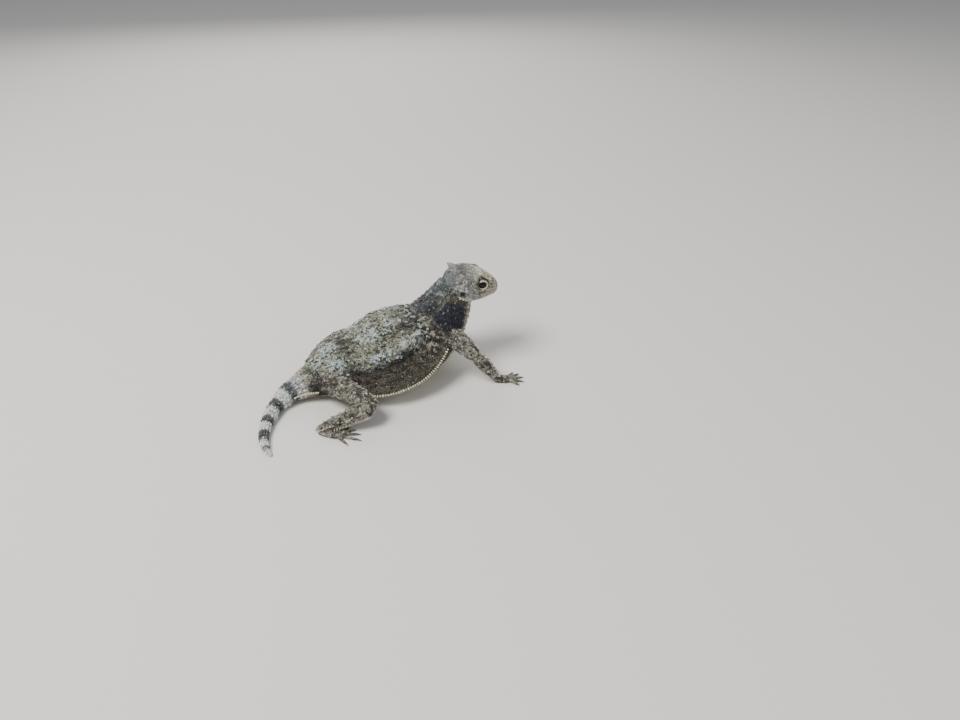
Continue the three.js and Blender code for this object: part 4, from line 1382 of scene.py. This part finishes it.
# %% [markdown]
# ## Lid rims
# A lizard's lid ends in a thick pale edge, with rows of tiny bead-like scales behind it. The edge is a
# thin tube that follows the opening on the ball of the lid. The beads are shields like all the others,
# in rows, because strewn ones would look ragged so close to the eye.

# %% A tube along the opening, and rows of beads round it
RIM_STEPS, RIM_SIDES, RIM_SIZE = 48, 8, 0.13
RIM_REACH, RIM_SUNK, BEAD_SUNK = 1.06, 0.1, 0.03
# Each row of beads: how far out it is, as a share of the opening, and how many beads it has.
BEAD_ROWS = ((1.14, 30), (1.27, 34), (1.4, 36))


def on_lid(count, reach, sunk, side):
    """Points round the opening, on the ball of the lid, measured from the middle of the eye."""
    turn = np.arange(count) / count * math.tau
    flat = np.column_stack([np.cos(turn), np.sin(turn)]) * LID_OPENING * reach
    out = np.sqrt(np.maximum(LID_RADIUS**2 - (flat**2).sum(1), 0.2)) - sunk
    return np.column_stack([flat[:, 0], out * side, flat[:, 1]])


rim_points, rim_faces, bead_roots, bead_normals = [], [], [], []
for side in (-1, 1):
    centre = on_lid(RIM_STEPS, RIM_REACH, RIM_SUNK, side)
    rim_faces += tube_faces(RIM_SIDES, RIM_STEPS, len(rim_points) * RIM_STEPS, closed=True)
    way = unit(centre)
    aside = np.cross(way, unit(np.roll(centre, -1, axis=0) - np.roll(centre, 1, axis=0)))
    for a in np.arange(RIM_SIDES) / RIM_SIDES * math.tau:
        ring = centre + RIM_SIZE * (math.cos(a) * way + math.sin(a) * aside) + on_side(EYE, side)
        rim_points.append(from_head(ring))
    for reach, count in BEAD_ROWS:
        centre = on_lid(count, reach, BEAD_SUNK, side)
        bead_roots.append(from_head(centre + on_side(EYE, side)))
        bead_normals.append(unit(centre) @ HEAD_TURN.T)
rims = make_object("eyelid_rims", np.vstack(rim_points), rim_faces)
set_colour(rims, np.tile(CREAM * 0.95, (len(rims.data.vertices), 1)))
finish_mesh(rims, SCALE_FINISH)
print("rim points:", len(rims.data.vertices))

# %% The beads: the first row as pale as the rim, the others in the face's own colours
BEAD_WIDTH, BEAD_RISE, BEAD_LEAN = 0.16, 0.12, 0.02
BEAD_LIE = (-1.0, 0.1, 0)
roots, normals = np.vstack(bead_roots), np.vstack(bead_normals)
bead_place, _ = place_scales(roots)
in_first_row = np.tile(np.repeat([True, False, False], [count for _, count in BEAD_ROWS]), 2)
tone = np.where(in_first_row[:, None], CREAM * 0.95, paint(roots, bead_place))
tone = tone * np.clip(1 + draw.normal(0, 0.08, len(roots)), 0.7, 1.2)[:, None]
points = shields(roots, normals, np.tile(BEAD_LIE, (len(roots), 1)), BEAD_WIDTH, BEAD_RISE, BEAD_LEAN)
beads = mesh_of_shields("eyelid_beads", points, tone, addresses(bead_place))
print("lid beads:", len(roots))

# %% [markdown]
# ## Claws
# Each toe ends in a sharp, slightly hooked claw of dark keratin that touches the floor. It could be a
# curve with a taper, but as rings of points all twenty are one light mesh.

# %% The claws' finish: dark, with paler blotches
claw_finish, nodes, links, shader = start_material("claw_keratin", roughness=0.35, specular=0.5)
grain = add_bump(nodes, links, shader, size=0.15, strength=0.3, distance=0.03)
colour_ramp(nodes, links, grain, shader.inputs["Base Color"], [(0.0, SOOT * 1.2), (1.0, TAUPE * 0.7)])
print("claw finish:", claw_finish.name)

# %% Claws
CLAW_STEPS, CLAW_SIDES = 8, 8
CLAW_START, CLAW_REACH = 0.72, 0.3
CLAW_HEIGHT, CLAW_ARCH, CLAW_DROP = 0.44, 0.12, 0.34
CLAW_RADIUS, CLAW_TIP, CLAW_NARROW = 0.27, 0.03, 0.75
UP = np.array([0, 0, 1])
claw_points, claw_faces = [], []
for root, heading, length in claw_roots:
    way, aside = heading_ways(heading)
    base, last = len(claw_points), len(claw_points) + CLAW_STEPS * CLAW_SIDES
    for share in np.linspace(0, 1, CLAW_STEPS + 1):
        rise = CLAW_HEIGHT + CLAW_ARCH * math.sin(share * math.pi) - CLAW_DROP * share
        middle = root + way * length * (CLAW_START + CLAW_REACH * share) + UP * rise
        size = CLAW_RADIUS * (1 - share) ** 0.8 + CLAW_TIP
        for a in np.arange(CLAW_SIDES) / CLAW_SIDES * math.tau:
            claw_points.append(middle + size * (math.cos(a) * aside * CLAW_NARROW + math.sin(a) * UP))
    claw_faces += tube_faces(CLAW_STEPS + 1, CLAW_SIDES, base)
    claw_faces += [tuple(range(last, last + CLAW_SIDES)), tuple(range(base, base + CLAW_SIDES))[::-1]]
claws = make_object("claws", np.maximum(claw_points, (-np.inf, -np.inf, FLOOR_GAP)), claw_faces)
finish_mesh(claws, claw_finish)
print("claws:", len(claw_roots))

# %% [markdown]
# ## Hand the pieces over
# The skin stands for all the solids of flesh, and every piece moves with the one body. Without this
# step the plain solids would hide the skin, which lies just inside them.

# %% Ride and replace
flesh = [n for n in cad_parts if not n.startswith(("eye_", "horn_"))]
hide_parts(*flesh)
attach(skin, "root")
for piece in [*coat, rims, beads, claws]:
    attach(piece, "root")


def triangles(pieces):
    return sum(len(piece.data.loops) - 2 * len(piece.data.polygons) for piece in pieces)


print("pieces in the coat:", len(coat), "triangles:", triangles(coat), "and in the skin:", triangles([skin]))

# %% [markdown]
# ## Floor, light and camera
# The animal stands on a plain pale floor, as on a museum's shelf. A single bright lamp would throw
# hard shadows that hide the scales. So three wide soft lamps light it: the strongest high over the
# tail, a weak one at the right shoulder and one from the left. The camera stands off the right hip, a
# hand's breadth up, where the photo was taken from.

# %% Floor
FLOOR_SIZE, FLOOR_COLOUR = 6, (0.76, 0.74, 0.71, 1)
floor_finish, nodes, links, shader = start_material("pale_floor", roughness=0.9, specular=0.2)
shader.inputs["Base Color"].default_value = FLOOR_COLOUR
bpy.ops.mesh.primitive_plane_add(size=FLOOR_SIZE)
floor = bpy.context.object
floor.name = "floor"
floor.data.materials.append(floor_finish)
print("floor across, m:", floor.dimensions.x)

# %% Light
SKY, SKY_STRENGTH = (0.9, 0.94, 1.0, 1), 0.33
BODY_MIDDLE = (0, 0, 0.01)
world = bpy.data.worlds.new("studio")
bpy.context.scene.world = world
world.use_nodes = True
world.node_tree.nodes["Background"].inputs["Color"].default_value = SKY
world.node_tree.nodes["Background"].inputs["Strength"].default_value = SKY_STRENGTH


def aimed(way):
    return Vector(way).to_track_quat("-Z", "Y").to_euler()


def soft_light(name, place, size, power, colour):
    lamp = bpy.data.lights.new(name, "AREA")
    lamp.size = size
    lamp.energy = power
    lamp.color = colour
    holder = link_object(name, lamp)
    holder.location = place
    holder.rotation_euler = aimed(Vector(BODY_MIDDLE) - Vector(place))
    print(name, "lamp of", power, "W")


soft_light("key", place=(-0.3, -0.05, 0.5), size=0.25, power=4.2, colour=(1.0, 0.97, 0.92))
soft_light("fill", place=(0.35, -0.5, 0.35), size=0.5, power=1.0, colour=(0.92, 0.96, 1.0))
soft_light("rear", place=(0.1, 0.5, 0.35), size=0.4, power=1.5, colour=(1.0, 0.98, 0.95))

# %% Camera
AIM = np.array([50.4, -4.4, 0.0])
DISTANCE, AZIMUTH, ELEVATION = 215.0, math.radians(-25), math.radians(33)
FOCAL_PIXELS, PHOTO_WIDTH, SENSOR = 721, 960, 36
back_way = np.array([
    math.sin(AZIMUTH) * math.cos(ELEVATION), -math.cos(AZIMUTH) * math.cos(ELEVATION), math.sin(ELEVATION),
])
camera = link_object("camera", bpy.data.cameras.new("camera"))
camera.data.sensor_width = SENSOR
camera.data.lens = FOCAL_PIXELS / PHOTO_WIDTH * SENSOR
camera.data.clip_start = 0.005
camera.location = (AIM + SHIFT + back_way * DISTANCE) * MM
camera.rotation_euler = aimed(-back_way)
bpy.context.scene.camera = camera
print("lens, mm:", round(camera.data.lens, 1))
